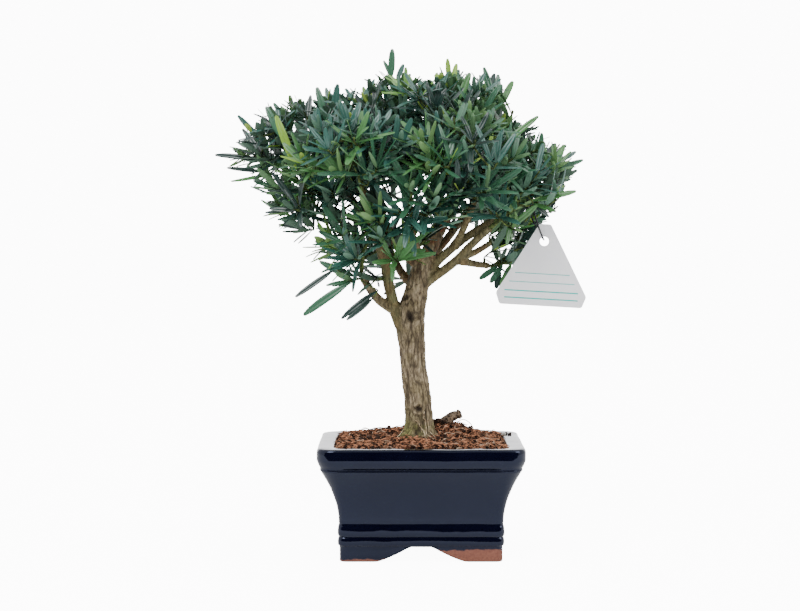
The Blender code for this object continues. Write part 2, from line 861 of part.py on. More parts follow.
class Mass:
    """Grows one mass: a stem from its bough's tip, twigs from the stem, and leaves round each shoot."""

    def __init__(self, space, spaces, barrier, bough, tips, seed):
        self.space = space
        self.spaces = spaces
        self.barrier = barrier
        self.bough = bough
        self.tips = [Vector(tip) * MM for tip in tips]
        self.rng = random.Random(seed)
        self.solids = []
        self.filled = []
        self.leaf_count = 0
        self.twig_count = 0

    def free(self, points, thickness, overshoot=SPACE_OVERSHOOT):
        for point in points:
            if self.space.depth(point) > overshoot or not self.space.owns(point, self.spaces):
                return False
            if self.barrier.touches(point, thickness):
                return False
        return True

    def crowded(self, points, own_twig):
        """Whether a blade would cross another blade, or a twig that isn't its own."""
        for owner, other in self.filled:
            if owner != own_twig and any((point - other).length < CROWDING for point in points):
                return True
        return False

    def grow_stem(self):
        heading = self.bough.directions[-1]
        start = self.bough.points[-1] + heading * GAP
        bend = start + heading * STEM_STRAIGHT
        self.stem_end = bend.lerp(self.space.middle, STEM_SHARE)
        points = [start, bend, self.stem_end]
        radii = [STEM_RADIUS, STEM_RADIUS, STEM_END_RADIUS]
        directions = [heading, (self.stem_end - start).normalized(), (self.stem_end - bend).normalized()]
        self.stem = loft(tube_rings(points, radii, TWIG_SIDES, directions))
        self.knots = []
        for step in range(FIRST_STEM_KNOT, STEM_KNOTS + 1):
            self.knots.append((bend.lerp(self.stem_end, step / STEM_KNOTS), STEM_END_RADIUS))

    def nearest_knot(self, target):
        return min(self.knots, key=lambda knot: (knot[0] - target).length)

    def grow_leaf(self, base, heading, axis, length, overshoot=SPACE_OVERSHOOT, may_cross=False):
        """A blade from the newest twig, if its place is free."""
        across = axis.cross(heading).normalized()
        corners = leaf_corners(base - heading * LEAF_SINK, heading, across, length)
        outer = samples(base + heading * TEST_STEP, corners[4]) + [corners[1], corners[3]]
        blade = samples(base + heading * CROWDING_START, corners[4])
        if not self.free(outer, LEAF_THICKNESS, overshoot):
            return False
        if not may_cross and self.crowded(blade, self.twig_count):
            return False
        self.solids.append((corners, LEAF_FACES))
        self.filled += [("blade", point) for point in blade]
        self.leaf_count += 1
        return True

    def grow_twig(self, end, radius=TWIG_RADIUS, overshoot=SPACE_OVERSHOOT):
        start, knot_radius = self.nearest_knot(end)
        radius = min(radius, knot_radius)
        self.knots = [knot for knot in self.knots if knot[0] != start]
        run = samples(start.lerp(end, TWIG_KNOT_SHARES[0]), end)
        if (end - start).length < 2 * radius or not self.free(run, radius, overshoot):
            return None
        end_radius = min(TWIG_END_RADIUS, radius * TWIG_TAPER)
        turn = self.rng.uniform(0, math.tau)
        self.solids.append(twig_solid(start, end, radius, end_radius, turn))
        self.twig_count += 1
        self.filled += [(self.twig_count, point) for point in run]
        for share in TWIG_KNOT_SHARES:
            self.knots.append((start.lerp(end, share), radius * (1 - share) + end_radius * share))
        return start

    def grow_shoot(self, end, leaves, overshoot=SPACE_OVERSHOOT):
        start = self.grow_twig(end, overshoot=overshoot)
        if start is None:
            return
        run = end - start
        axis = run.normalized()
        outward = (end - self.space.middle).normalized()
        axis = (axis + outward + Vector((0, 0, SHOOT_UPTURN))).normalized()
        side = axis.orthogonal().normalized()
        other = axis.cross(side)
        turn = self.rng.uniform(0, math.tau)
        wide, narrow = LEAF_OPENING
        first, last = LEAFY_SHARE
        for index in range(leaves):
            share = index / max(leaves - 1, 1)
            base = start.lerp(end, first + (last - first) * share)
            scatter = self.rng.uniform(-LEAF_OPENING_SPREAD, LEAF_OPENING_SPREAD)
            opening = math.radians(wide + (narrow - wide) * share + scatter)
            length = self.rng.uniform(*LEAF_LENGTH)
            for length_share, nudge in LEAF_TRIES:
                around = turn + index * GOLDEN_ANGLE + math.radians(nudge)
                sideways = side * math.cos(around) + other * math.sin(around)
                heading = (axis * math.cos(opening) + sideways * math.sin(opening)).normalized()
                if self.grow_leaf(base, heading, axis, length * length_share):
                    break

    def grow_tip(self, tip):
        """A shoot whose middle leaf ends at one of the mass's furthest tips."""
        outward = (tip - self.space.middle).normalized()
        length = LEAF_LENGTH[1]
        end = tip - outward * (length - LEAF_SINK)
        if self.grow_twig(end + outward * TIP_TWIG_END, overshoot=TIP_OVERSHOOT) is None:
            print(f"{self.space.name}: no twig to the tip at {tip}")
            return
        side = outward.orthogonal().normalized()
        if not self.grow_leaf(end, outward, side, length, overshoot=TIP_OVERSHOOT, may_cross=True):
            print(f"{self.space.name}: no leaf to the tip at {tip}")
        other = outward.cross(side)
        for back, around in TIP_SIDE_LEAVES:
            sideways = side * math.cos(around) + other * math.sin(around)
            heading = outward * math.cos(TIP_OPENING) + sideways * math.sin(TIP_OPENING)
            self.grow_leaf(end - outward * back, heading, outward, length, overshoot=TIP_OVERSHOOT)

    def grow(self):
        """More shoots on a wider mass, one for each stretch of its radius."""
        shoots = round(math.sqrt(self.space.weight) / SHOOT_SPACING)
        self.grow_stem()
        for tip in self.tips:
            self.grow_tip(tip)
        ends = []
        for direction in even_directions(shoots, self.rng.uniform(0, math.tau)):
            reach = self.rng.uniform(*SHOOT_REACH)
            away = Vector(direction[axis] * self.space.half_sizes[axis] for axis in range(3))
            ends.append(self.space.middle + away * reach)
        ends.sort(key=lambda end: (end - self.stem_end).length)
        for end in ends:
            self.grow_shoot(end, LEAVES_PER_SHOOT)

    def fuse(self):
        """Joins stem, twigs and leaves into one solid by one union over a collection."""
        mass = add_object(self.space.name, *self.stem, "foliage")
        face_outwards(mass)
        parts = bpy.data.collections.new(self.space.name + "_parts")
        bpy.context.scene.collection.children.link(parts)
        for index, (vertices, faces) in enumerate(self.solids):
            piece = add_object(f"{self.space.name}_part_{index}", vertices, faces, "foliage")
            bpy.context.scene.collection.objects.unlink(piece)
            parts.objects.link(piece)
            face_outwards(piece)
        modifier = mass.modifiers.new("fuse", "BOOLEAN")
        modifier.operation = "UNION"
        modifier.operand_type = "COLLECTION"
        modifier.collection = parts
        modifier.solver = "EXACT"
        apply_modifiers(mass)
        for piece in list(parts.objects):
            bpy.data.objects.remove(piece)
        bpy.data.collections.remove(parts)
        keep_main_body(mass)
        mass.data.shade_flat()
        return mass


def make_foliage(limbs):
    spaces = {}
    for name, (_, middle, half_sizes, _) in MASSES.items():
        spaces[name] = Space(name, middle, half_sizes)
    barrier = Barrier(limbs)
    leaf_total = 0
    for index, (name, (bough, _, _, tips)) in enumerate(MASSES.items()):
        mass = Mass(spaces[name], spaces.values(), barrier, limbs[bough], tips, SEED + index)
        mass.grow()
        item = mass.fuse()
        leaf_total += mass.leaf_count
        faces = sum(len(polygon.vertices) - 2 for polygon in item.data.polygons)
        print(f"{name}: {mass.leaf_count} leaves, {faces} triangles")
    print(f"{leaf_total} leaves in all")


def turned_in_tag(across, drop):
    """A place on the tag, from its own across and drop to the bonsai's frame."""
    x = across * math.cos(TAG_TURN) - drop * math.sin(TAG_TURN)
    z = -across * math.sin(TAG_TURN) - drop * math.cos(TAG_TURN)
    return TAG_TOP_MIDDLE + Vector((x, 0, z))


def tag_ring(outline, y_shift):
    return [turned_in_tag(across, drop) + Vector((0, y_shift, 0)) for across, drop in outline]


def make_tag():
    side_drop = TAG_HEIGHT - TAG_CORNER_HEIGHT
    right = [
        (TAG_TOP_HALF_WIDTH, 0.0),
        (TAG_SIDE_HALF_WIDTH, side_drop),
        (TAG_FOOT_HALF_WIDTH, TAG_HEIGHT),
    ]
    outline = right + [(-across, drop) for across, drop in reversed(right)]
    half = TAG_THICKNESS / 2
    tag = add_object("tag", *loft([tag_ring(outline, -half), tag_ring(outline, half)]), "tag_plastic")
    face_outwards(tag)
    hole = []
    for step in range(TAG_HOLE_SIDES):
        angle = step * math.tau / TAG_HOLE_SIDES
        across = TAG_HOLE_RADIUS * math.cos(angle)
        hole.append((across, TAG_HOLE_DROP + TAG_HOLE_RADIUS * math.sin(angle)))
    rings = [tag_ring(hole, -CUTTER_OVERSHOOT), tag_ring(hole, CUTTER_OVERSHOOT)]
    punch = add_object("tag_punch", *loft(rings), "tag_plastic")
    punch.hide_render = True
    punch.display_type = "WIRE"
    face_outwards(punch)
    cut(tag, punch)
    return tag


def make_tie():
    loop = smooth_line(TIE_LOOP, TIE_STEPS, closed=True)
    rings = tube_rings(loop, [TIE_RADIUS] * len(loop), TIE_SIDES, closed=True)
    tie = add_object("tag_tie", *loft(rings, closed=True), "tie_wire")
    face_outwards(tie)
    shade_round(tie, 60)
    return tie


def hang_from_empty():
    """Parents every piece to one empty, which sets the middle of the whole box over the origin."""
    pieces = list(bpy.context.scene.collection.objects)
    corners = [vertex.co for item in pieces for vertex in item.data.vertices]
    middle_x = (min(point.x for point in corners) + max(point.x for point in corners)) / 2
    middle_y = (min(point.y for point in corners) + max(point.y for point in corners)) / 2
    stand = bpy.data.objects.new("bonsai", None)
    bpy.context.scene.collection.objects.link(stand)
    for item in pieces:
        item.parent = stand
    stand.location = (-middle_x, -middle_y, 0.0)


def main():
    clear_scene()
    limbs = plan_limbs()
    make_pot()
    make_soil(limbs["trunk"].solid("trunk_cutter", growth=GAP))
    for limb in limbs.values():
        make_limb(limb, limbs)
    make_tag()
    make_tie()
    make_foliage(limbs)
    hang_from_empty()


main()
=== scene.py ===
# %% [markdown]
# A podocarpus bonsai, dressed for the camera.
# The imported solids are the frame: they give the true size and place of the pot, the trunk, the
# boughs and each mass of foliage. This script puts the finished surfaces over them, bark with its
# relief, a few thousand strap leaves on fine twigs, a glazed pot, loose potting mix and a tag.
# Everything is worked out in millimetres about the middle of the pot, then set into the frame.

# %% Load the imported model
import json
import math
import random

import bpy
import numpy as np
from mathutils import Matrix, Vector, noise
from mathutils.bvhtree import BVHTree

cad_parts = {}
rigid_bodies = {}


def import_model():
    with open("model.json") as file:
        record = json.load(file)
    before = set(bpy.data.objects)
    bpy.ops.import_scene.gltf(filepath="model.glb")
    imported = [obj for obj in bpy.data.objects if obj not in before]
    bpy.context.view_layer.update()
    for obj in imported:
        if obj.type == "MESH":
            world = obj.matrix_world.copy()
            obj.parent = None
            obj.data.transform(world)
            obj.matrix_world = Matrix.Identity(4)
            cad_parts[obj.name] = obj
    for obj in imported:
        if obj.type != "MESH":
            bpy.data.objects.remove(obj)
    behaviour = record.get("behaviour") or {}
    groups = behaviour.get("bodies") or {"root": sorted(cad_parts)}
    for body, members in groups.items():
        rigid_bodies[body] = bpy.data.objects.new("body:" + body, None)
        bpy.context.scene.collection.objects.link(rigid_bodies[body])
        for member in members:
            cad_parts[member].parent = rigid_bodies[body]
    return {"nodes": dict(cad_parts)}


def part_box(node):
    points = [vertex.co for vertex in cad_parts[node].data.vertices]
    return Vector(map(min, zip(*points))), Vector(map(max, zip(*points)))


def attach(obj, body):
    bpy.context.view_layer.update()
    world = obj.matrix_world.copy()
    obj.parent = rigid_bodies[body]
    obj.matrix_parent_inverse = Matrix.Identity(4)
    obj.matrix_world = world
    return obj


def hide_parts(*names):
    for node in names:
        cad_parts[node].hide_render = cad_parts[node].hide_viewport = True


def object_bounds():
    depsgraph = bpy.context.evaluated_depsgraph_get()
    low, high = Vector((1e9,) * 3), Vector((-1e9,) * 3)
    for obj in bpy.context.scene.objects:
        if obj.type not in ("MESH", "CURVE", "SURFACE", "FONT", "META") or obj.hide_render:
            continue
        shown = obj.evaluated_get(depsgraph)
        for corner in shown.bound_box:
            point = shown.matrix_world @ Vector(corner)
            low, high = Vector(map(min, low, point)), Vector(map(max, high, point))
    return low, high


for item in list(bpy.data.objects):
    bpy.data.objects.remove(item)
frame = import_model()
cad_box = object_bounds()
MM = 0.001
pot_low, pot_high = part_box("pot")
PLACE = Vector(((pot_low[0] + pot_high[0]) / 2, (pot_low[1] + pot_high[1]) / 2, 0.0))
print("nodes in the frame:", len(frame["nodes"]), "pot's middle at", tuple(round(v, 4) for v in PLACE))

# %% [markdown]
# The camera comes first, because everything else is judged through it. The photo was taken from
# about a metre and a half away, a little above the middle of the tree and looking very slightly
# down. A long lens of 87 mm keeps the pot's sides nearly parallel, as they are in the photo.

# %% Camera
CAMERA_PLACE = Vector((-15.4, -1437.0, 261.3)) * MM
CAMERA_LENS = 86.94
CAMERA_PITCH = 0.0533
SENSOR_WIDTH = 36

camera = bpy.data.objects.new("camera", bpy.data.cameras.new("camera"))
camera.data.lens = CAMERA_LENS
camera.data.sensor_width = SENSOR_WIDTH
camera.location = PLACE + CAMERA_PLACE
camera.rotation_euler = (math.pi / 2 - CAMERA_PITCH, 0, 0)
bpy.context.scene.collection.objects.link(camera)
bpy.context.scene.camera = camera
print("camera at", tuple(round(v, 3) for v in camera.location))

# %% [markdown]
# A few things are placed by where the photo shows them. The same camera turns a pixel into a
# place, once it is known how far behind the pot's middle the place is, and a place into a pixel.
# So the pixels can be written down as they were read, and nothing needs to be converted by hand.

# %% From the photo's pixels to places, and back
PHOTO_WIDTH = 800
PHOTO_HEIGHT = 611
EYE = CAMERA_PLACE / MM
PIXELS_TO_A_SLOPE = CAMERA_LENS / SENSOR_WIDTH * PHOTO_WIDTH
LEVEL = math.cos(CAMERA_PITCH)
DOWN = math.sin(CAMERA_PITCH)


def from_photo(pixel, behind):
    """The place, in millimetres, seen at a pixel, at a distance behind the pot's middle."""
    slope = (PHOTO_HEIGHT / 2 - pixel[1]) / PIXELS_TO_A_SLOPE
    away = behind - EYE.y
    rise = away * (slope * LEVEL - DOWN) / (LEVEL + slope * DOWN)
    depth = away * LEVEL - rise * DOWN
    across = (pixel[0] - PHOTO_WIDTH / 2) / PIXELS_TO_A_SLOPE * depth
    return Vector((EYE.x + across, behind, EYE.z + rise))


def seen_at(point):
    """The pixel at which the camera sees a place."""
    across, away, rise = Vector(point) - EYE
    depth = away * LEVEL - rise * DOWN
    up = away * DOWN + rise * LEVEL
    pixel_x = PHOTO_WIDTH / 2 + PIXELS_TO_A_SLOPE * across / depth
    return pixel_x, PHOTO_HEIGHT / 2 - PIXELS_TO_A_SLOPE * up / depth


there_and_back = seen_at(from_photo((300, 200), -40))
print("a pixel sent out and back:", tuple(round(value, 3) for value in there_and_back))

# %% [markdown]
# A few small helpers serve the whole script. Colours are written as the hex values that a colour
# picker shows, and one function turns them into the linear values that Blender works in. One
# function adds any node to any tree. One function turns lists of points in millimetres into a
# piece that sits at the origin, so that a pattern on Object coordinates stays where it is. Another
# makes smooth noise, for whatever should not be quite even.

# %% Helpers
def linear(hex_text):
    """The linear colour, with alpha, of an sRGB hex value."""
    channels = [int(hex_text[start:start + 2], 16) / 255 for start in (1, 3, 5)]
    return tuple(((c + 0.055) / 1.055) ** 2.4 if c > 0.04045 else c / 12.92 for c in channels) + (1.0,)


def add_node(tree, kind, values=None, links=None, **settings):
    """A node with its settings, its input values and its links from other nodes' outputs."""
    node = tree.nodes.new(kind)
    for name, value in settings.items():
        setattr(node, name, value)
    for key, value in (values or {}).items():
        node.inputs[key].default_value = value
    for key, (source, output) in (links or {}).items():
        tree.links.new(source.outputs[output], node.inputs[key])
    return node


def new_material(name, **values):
    """A material with a Principled shader. Values name its inputs, with _ for a space."""
    material = bpy.data.materials.new(name)
    material.use_nodes = True
    shader = material.node_tree.nodes["Principled BSDF"]
    for key, value in values.items():
        shader.inputs[key.replace("_", " ")].default_value = value
    return material, material.node_tree, shader


def put_in_scene(name, data):
    item = bpy.data.objects.new(name, data)
    bpy.context.scene.collection.objects.link(item)
    return item


def make_piece(name, points, faces, finish=None, smooth=True):
    """A mesh piece from points in millimetres about the pot's middle."""
    places = np.asarray(points, dtype=np.float64) * MM + np.array(PLACE)
    mesh = bpy.data.meshes.new(name)
    mesh.from_pydata(places.tolist(), [], faces)
    if finish:
        mesh.materials.append(finish)
    mesh.polygons.foreach_set("use_smooth", [smooth] * len(mesh.polygons))
    mesh.update()
    return put_in_scene(name, mesh)


def skin(rows, count):
    """Quads between rings of equally many points."""
    faces = []
    for row in range(rows - 1):
        for step in range(count):
            following = (step + 1) % count
            low = row * count
            faces.append((low + step, low + following, low + count + following, low + count + step))
    return faces


def joined(parts):
    """The points and faces of several parts in one list of each."""
    points, faces = [], []
    for part_points, part_faces in parts:
        faces += [tuple(index + len(points) for index in face) for face in part_faces]
        points += part_points
    return points, faces


def evaluated_mesh(item):
    graph = bpy.context.evaluated_depsgraph_get()
    return bpy.data.meshes.new_from_object(item.evaluated_get(graph))


def triangles(piece):
    return sum(len(polygon.vertices) - 2 for polygon in piece.data.polygons)


def wander(x, y, z, size, seed=0.0):
    """Smooth noise from about -1 to 1 whose bumps are about size millimetres across."""
    return noise.noise(Vector((x / size + seed, y / size - seed, z / size + 3 * seed)))


# %% [markdown]
# The photo looks as if it was taken on white paper under soft light, in a dark room. The dark room
# matters: the glazed pot mirrors it in its upright faces, and mirrors the paper in the faces that
# look down. Two black cards stand in for the room, and a lit white one for the
# backdrop that the rim mirrors. They are seen by reflections only, so they change nothing else.
# The paper and the sky are made brighter to the camera than they are as light, so that the
# background is white while the plant keeps its own exposure.

# %% Studio
BACKDROP_STRENGTH = 12.0
SKY_STRENGTH = 1.05
FLOOR_REACH = 9000
DARK_FLOOR_NEAR = 420
DARK_FLOOR_FAR = 2600
DARK_FLOOR_HALF = 2500
DARK_WALL_AWAY = 1500
DARK_WALL_HALF = 3400
DARK_WALL_TOP = 1150
BACKDROP_AWAY = 2400
BACKDROP_TOP = 1300
LIGHT_TARGET = (0, 0, 0.25)


def studio_light(name, place, size, power):
    light = bpy.data.lights.new(name, "AREA")
    light.size = size
    light.energy = power
    item = put_in_scene(name, light)
    item.location = PLACE + Vector(place)
    item.rotation_euler = (Vector(LIGHT_TARGET) - Vector(place)).to_track_quat("-Z", "Y").to_euler()


def card(name, corners, finish):
    """A card that only reflections see."""
    item = make_piece(name, corners, [(0, 1, 2, 3)], finish, smooth=False)
    item.visible_camera = False
    item.visible_diffuse = False
    item.visible_shadow = False
    item.visible_transmission = False


def lying(half_width, near, far, height):
    places = [(-half_width, near), (-half_width, far), (half_width, far), (half_width, near)]
    return [(x, y, height) for x, y in places]


def upright(half_width, y, top):
    return [(-half_width, y, 0), (half_width, y, 0), (half_width, y, top), (-half_width, y, top)]


floor_finish, floor_tree, floor_shader = new_material(
    "matt white paper floor", Base_Color=linear("#f7f7f7"), Roughness=0.9, Emission_Color=linear("#ffffff")
)
seen = add_node(floor_tree, "ShaderNodeLightPath")
glow = add_node(
    floor_tree,
    "ShaderNodeMath",
    {1: BACKDROP_STRENGTH - SKY_STRENGTH},
    {0: (seen, "Is Camera Ray")},
    operation="MULTIPLY",
)
floor_tree.links.new(glow.outputs[0], floor_shader.inputs["Emission Strength"])
corners = [(-FLOOR_REACH, -FLOOR_REACH, 0), (FLOOR_REACH, -FLOOR_REACH, 0)]
corners += [(FLOOR_REACH, FLOOR_REACH, 0), (-FLOOR_REACH, FLOOR_REACH, 0)]
floor = make_piece("floor", corners, [(0, 1, 2, 3)], floor_finish, smooth=False)

dark_finish, _, _ = new_material(
    "black card", Base_Color=linear("#0a0a10"), Roughness=1.0, Specular_IOR_Level=0.0
)
card("card_on_floor", lying(DARK_FLOOR_HALF, -DARK_FLOOR_NEAR, -DARK_FLOOR_FAR, 3), dark_finish)
card("card_in_front", upright(DARK_WALL_HALF, -DARK_WALL_AWAY, DARK_WALL_TOP), dark_finish)
bright_finish, _, _ = new_material(
    "lit white card", Emission_Color=linear("#ffffff"), Emission_Strength=1.9
)
card("card_behind", upright(-BACKDROP_AWAY, BACKDROP_AWAY, BACKDROP_TOP), bright_finish)

world = bpy.data.worlds.new("white studio")
world.use_nodes = True
sky = world.node_tree.nodes["Background"]
sky.inputs["Color"].default_value = linear("#ffffff")
seen = add_node(world.node_tree, "ShaderNodeLightPath")
brightness = add_node(
    world.node_tree,
    "ShaderNodeMapRange",
    {"To Min": SKY_STRENGTH, "To Max": BACKDROP_STRENGTH},
    {"Value": (seen, "Is Camera Ray")},
)
world.node_tree.links.new(brightness.outputs[0], sky.inputs["Strength"])
bpy.context.scene.world = world
studio_light("key_light", (-0.9, -1.3, 1.7), 1.2, 32)
studio_light("side_light", (1.5, -0.6, 1.0), 0.9, 10)
print("studio: floor, sky, three cards and two lights")

# %% [markdown]
# The pot is a press-moulded stoneware tray with a thick rim, a hollow curved wall, two mouldings
# and four feet. Its skin is a stack of rounded rectangles, one for each point of the wall's
# profile. The arches between the feet need no cutting: the lowest row of the wall simply rises to
# the arch's height, and the underside is a vault of the same two curves. Slow noise moves the
# wall by a few tenths of a millimetre, because a moulded and glazed pot is never quite true.

# %% Pot profile
POT_HALF_WIDTH = 75.7
POT_HALF_DEPTH = 60.5
POT_HEIGHT = 84.0
CORNER_RADIUS = 13.0
CORNER_TIGHTENING = 0.5
ARCH_HEIGHT = 10.9
ARCH_FLAT = 8.0
ARCH_FOOT = 33.0
ARCH_POWER = 1.3
SIDE_ARCH_SHARE = 0.72
FOOT_INSET = 16.3
FOOT_TOP = 11.4
LONG_STEPS = 44
SHORT_STEPS = 32
CORNER_STEPS = 8
# the mouldings: lowest, widest and highest level of each, and its inset at the widest
MOULDINGS = ((11.8, 14.3, 18.4, 15.0), (18.6, 21.2, 27.4, 14.8))
MOULDING_FOOT_INSET = 15.9
COVE_FOOT = (15.6, 29.0)
COVE_TOP = (2.2, 68.2)
COVE_POWER = 1.85
GROOVE_LEVELS = (68.3, 69.8)
GROOVE_END = 12.0
GROOVE_FULL = 22.0
# inset and level up through the groove, round the rim and down the inside
RIM_PROFILE = (
    (3.1, 68.4), (3.4, 69.0), (3.0, 69.6), (2.2, 70.2), (1.6, 71.1), (0.9, 72.8), (0.3, 74.4), (0.02, 75.4),
    (0.0, 76.2), (0.0, 80.0), (0.1, 81.7), (0.4, 82.8), (0.9, 83.5), (1.8, 83.9), (4.0, 84.05), (8.0, 84.0),
    (11.2, 83.95), (12.3, 83.6), (12.9, 82.6), (13.4, 79.0), (14.6, 70.0), (23.0, 18.0),
)
# how far in and how high the foot's lower edge is rounded, and the rows of the hollow under it
FOOT_EDGE = ((0.55, 0.12), (0.15, 0.5), (0.0, 1.2))
FOOT_EDGE_HEIGHT = 1.2
VAULT_ROWS = (0.12, 0.24, 0.36, 0.48, 0.6, 0.7, 0.8, 0.9, 1.0)


def arch(across, share=1.0):
    """Height of the arch at a distance from its middle."""
    away = (abs(across) / share - ARCH_FLAT) / (ARCH_FOOT - ARCH_FLAT)
    return ARCH_HEIGHT * (1 - min(max(away, 0.0), 1.0)) ** ARCH_POWER


def underside(x, y):
    return max(arch(x), arch(y, SIDE_ARCH_SHARE))


def rounded_ring(inset):
    """Points and outward directions round the pot at an inset from the rim's face."""
    radius = max(CORNER_RADIUS - CORNER_TIGHTENING * inset, 4.0)
    half_x, half_y = POT_HALF_WIDTH - inset - radius, POT_HALF_DEPTH - inset - radius
    ring = []
    for corner, (sx, sy) in enumerate(((1, 1), (-1, 1), (-1, -1), (1, -1))):
        start = corner * math.pi / 2
        for step in range(CORNER_STEPS):
            angle = start + step / CORNER_STEPS * math.pi / 2
            out = (math.cos(angle), math.sin(angle))
            ring.append((sx * half_x + radius * out[0], sy * half_y + radius * out[1], out))
        out = (math.cos(start + math.pi / 2), math.sin(start + math.pi / 2))
        begin = (sx * half_x + radius * out[0], sy * half_y + radius * out[1])
        nx, ny = ((-1, 1), (-1, -1), (1, -1), (1, 1))[corner]
        finish = (nx * half_x + radius * out[0], ny * half_y + radius * out[1])
        steps = LONG_STEPS if corner % 2 == 0 else SHORT_STEPS
        for step in range(steps):
            share = step / steps
            x = begin[0] + (finish[0] - begin[0]) * share
            y = begin[1] + (finish[1] - begin[1]) * share
            ring.append((x, y, out))
    return ring


def groove_filling(x, y, inset, height):
    """How far the glaze fills the groove under the rim, which fades out before each corner."""
    if not GROOVE_LEVELS[0] < height < GROOVE_LEVELS[1]:
        return 0.0
    from_corner = max(POT_HALF_WIDTH - abs(x), POT_HALF_DEPTH - abs(y))
    open_share = min(max((from_corner - GROOVE_END) / (GROOVE_FULL - GROOVE_END), 0.0), 1.0)
    return (inset - COVE_TOP[0]) * (1 - open_share)


def pot_profile():
    """Pairs of inset and height up the outside of the wall, over the rim and down the inside."""
    profile = [(FOOT_INSET, FOOT_TOP)]
    for low, widest, high, bulge_inset in MOULDINGS:
        for step in range(11):
            lean = -1 + step / 5
            bulge = math.sqrt(max(1 - lean * lean, 0.0))
            height = widest + lean * (widest - low if lean < 0 else high - widest)
            profile.append((MOULDING_FOOT_INSET + (bulge_inset - MOULDING_FOOT_INSET) * bulge, height))
    for step in range(25):
        share = 1 - step / 24
        inset = COVE_TOP[0] + (COVE_FOOT[0] - COVE_TOP[0]) * (1 - (1 - share) ** COVE_POWER)
        profile.append((inset, COVE_TOP[1] + (COVE_FOOT[1] - COVE_TOP[1]) * share))
    return profile + list(RIM_PROFILE)


# %% Pot mesh
def pot_points():
    rows = []
    foot = rounded_ring(FOOT_INSET)
    inner_foot = rounded_ring(FOOT_INSET + FOOT_EDGE_HEIGHT)
    for shrink in VAULT_ROWS:
        rows.append([(x * shrink, y * shrink, underside(x * shrink, y * shrink)) for x, y, _ in inner_foot])
    for inset, rise in FOOT_EDGE:
        ring = rounded_ring(FOOT_INSET + inset)
        rows.append([(x, y, underside(x, y) + rise) for x, y, _ in ring])
    for share in (0.33, 0.66):
        row = []
        for x, y, _ in foot:
            low = underside(x, y) + FOOT_EDGE_HEIGHT
            row.append((x, y, low + (FOOT_TOP - low) * share))
        rows.append(row)
    for inset, height in pot_profile():
        row = []
        for x, y, out in rounded_ring(inset):
            shift = 0.38 * wander(x, y, height, 34, 1.3) + 0.12 * wander(x, y, height, 9, 4.1)
            shift += groove_filling(x, y, inset, height)
            rise = 0.22 * wander(x, y, 0, 16, height * 0.01) if height > FOOT_TOP + 1 else 0.0
            row.append((x + out[0] * shift, y + out[1] * shift, height + rise))
        rows.append(row)
    return rows


def make_pot(finish):
    rows = pot_points()
    count = len(rows[0])
    points = [point for row in rows for point in row]
    faces = skin(len(rows), count)
    points.append((0.0, 0.0, underside(0, 0)))
    points.append((0.0, 0.0, rows[-1][0][2]))
    last = (len(rows) - 1) * count
    for step in range(count):
        following = (step + 1) % count
        faces.append((following, step, len(points) - 2))
        faces.append((last + step, last + following, len(points) - 1))
    return make_piece("glazed_pot", points, faces, finish)


# %% [markdown]
# The glaze is a glossy navy stoneware glaze, nearly black where it is thick. Stoneware glaze is
# glass on clay: IOR about 1.5, very smooth, with a faint orange-peel ripple and slow clouds of
# blue. It was wiped off the foot, so the bare brown clay shows there in an uneven strip, higher
# on the front right foot. The strip follows the height, bent by noise.

# %% Glaze and bare clay
GLAZE_COLOURS = ("#02020e", "#090b1c")
CLAY_COLOURS = ("#5f3526", "#97634d")
CLOUD_SIZE = 26.3
RIPPLE_SIZE = 8.33
CLAY_GRAIN = 1.111
STRIP_WAVE_SIZE = 9.09
STRIP_WAVE_HEIGHT = 6
STRIP_HEIGHTS = (2.0, 9.0)
STRIP_STEP = (7, 13)


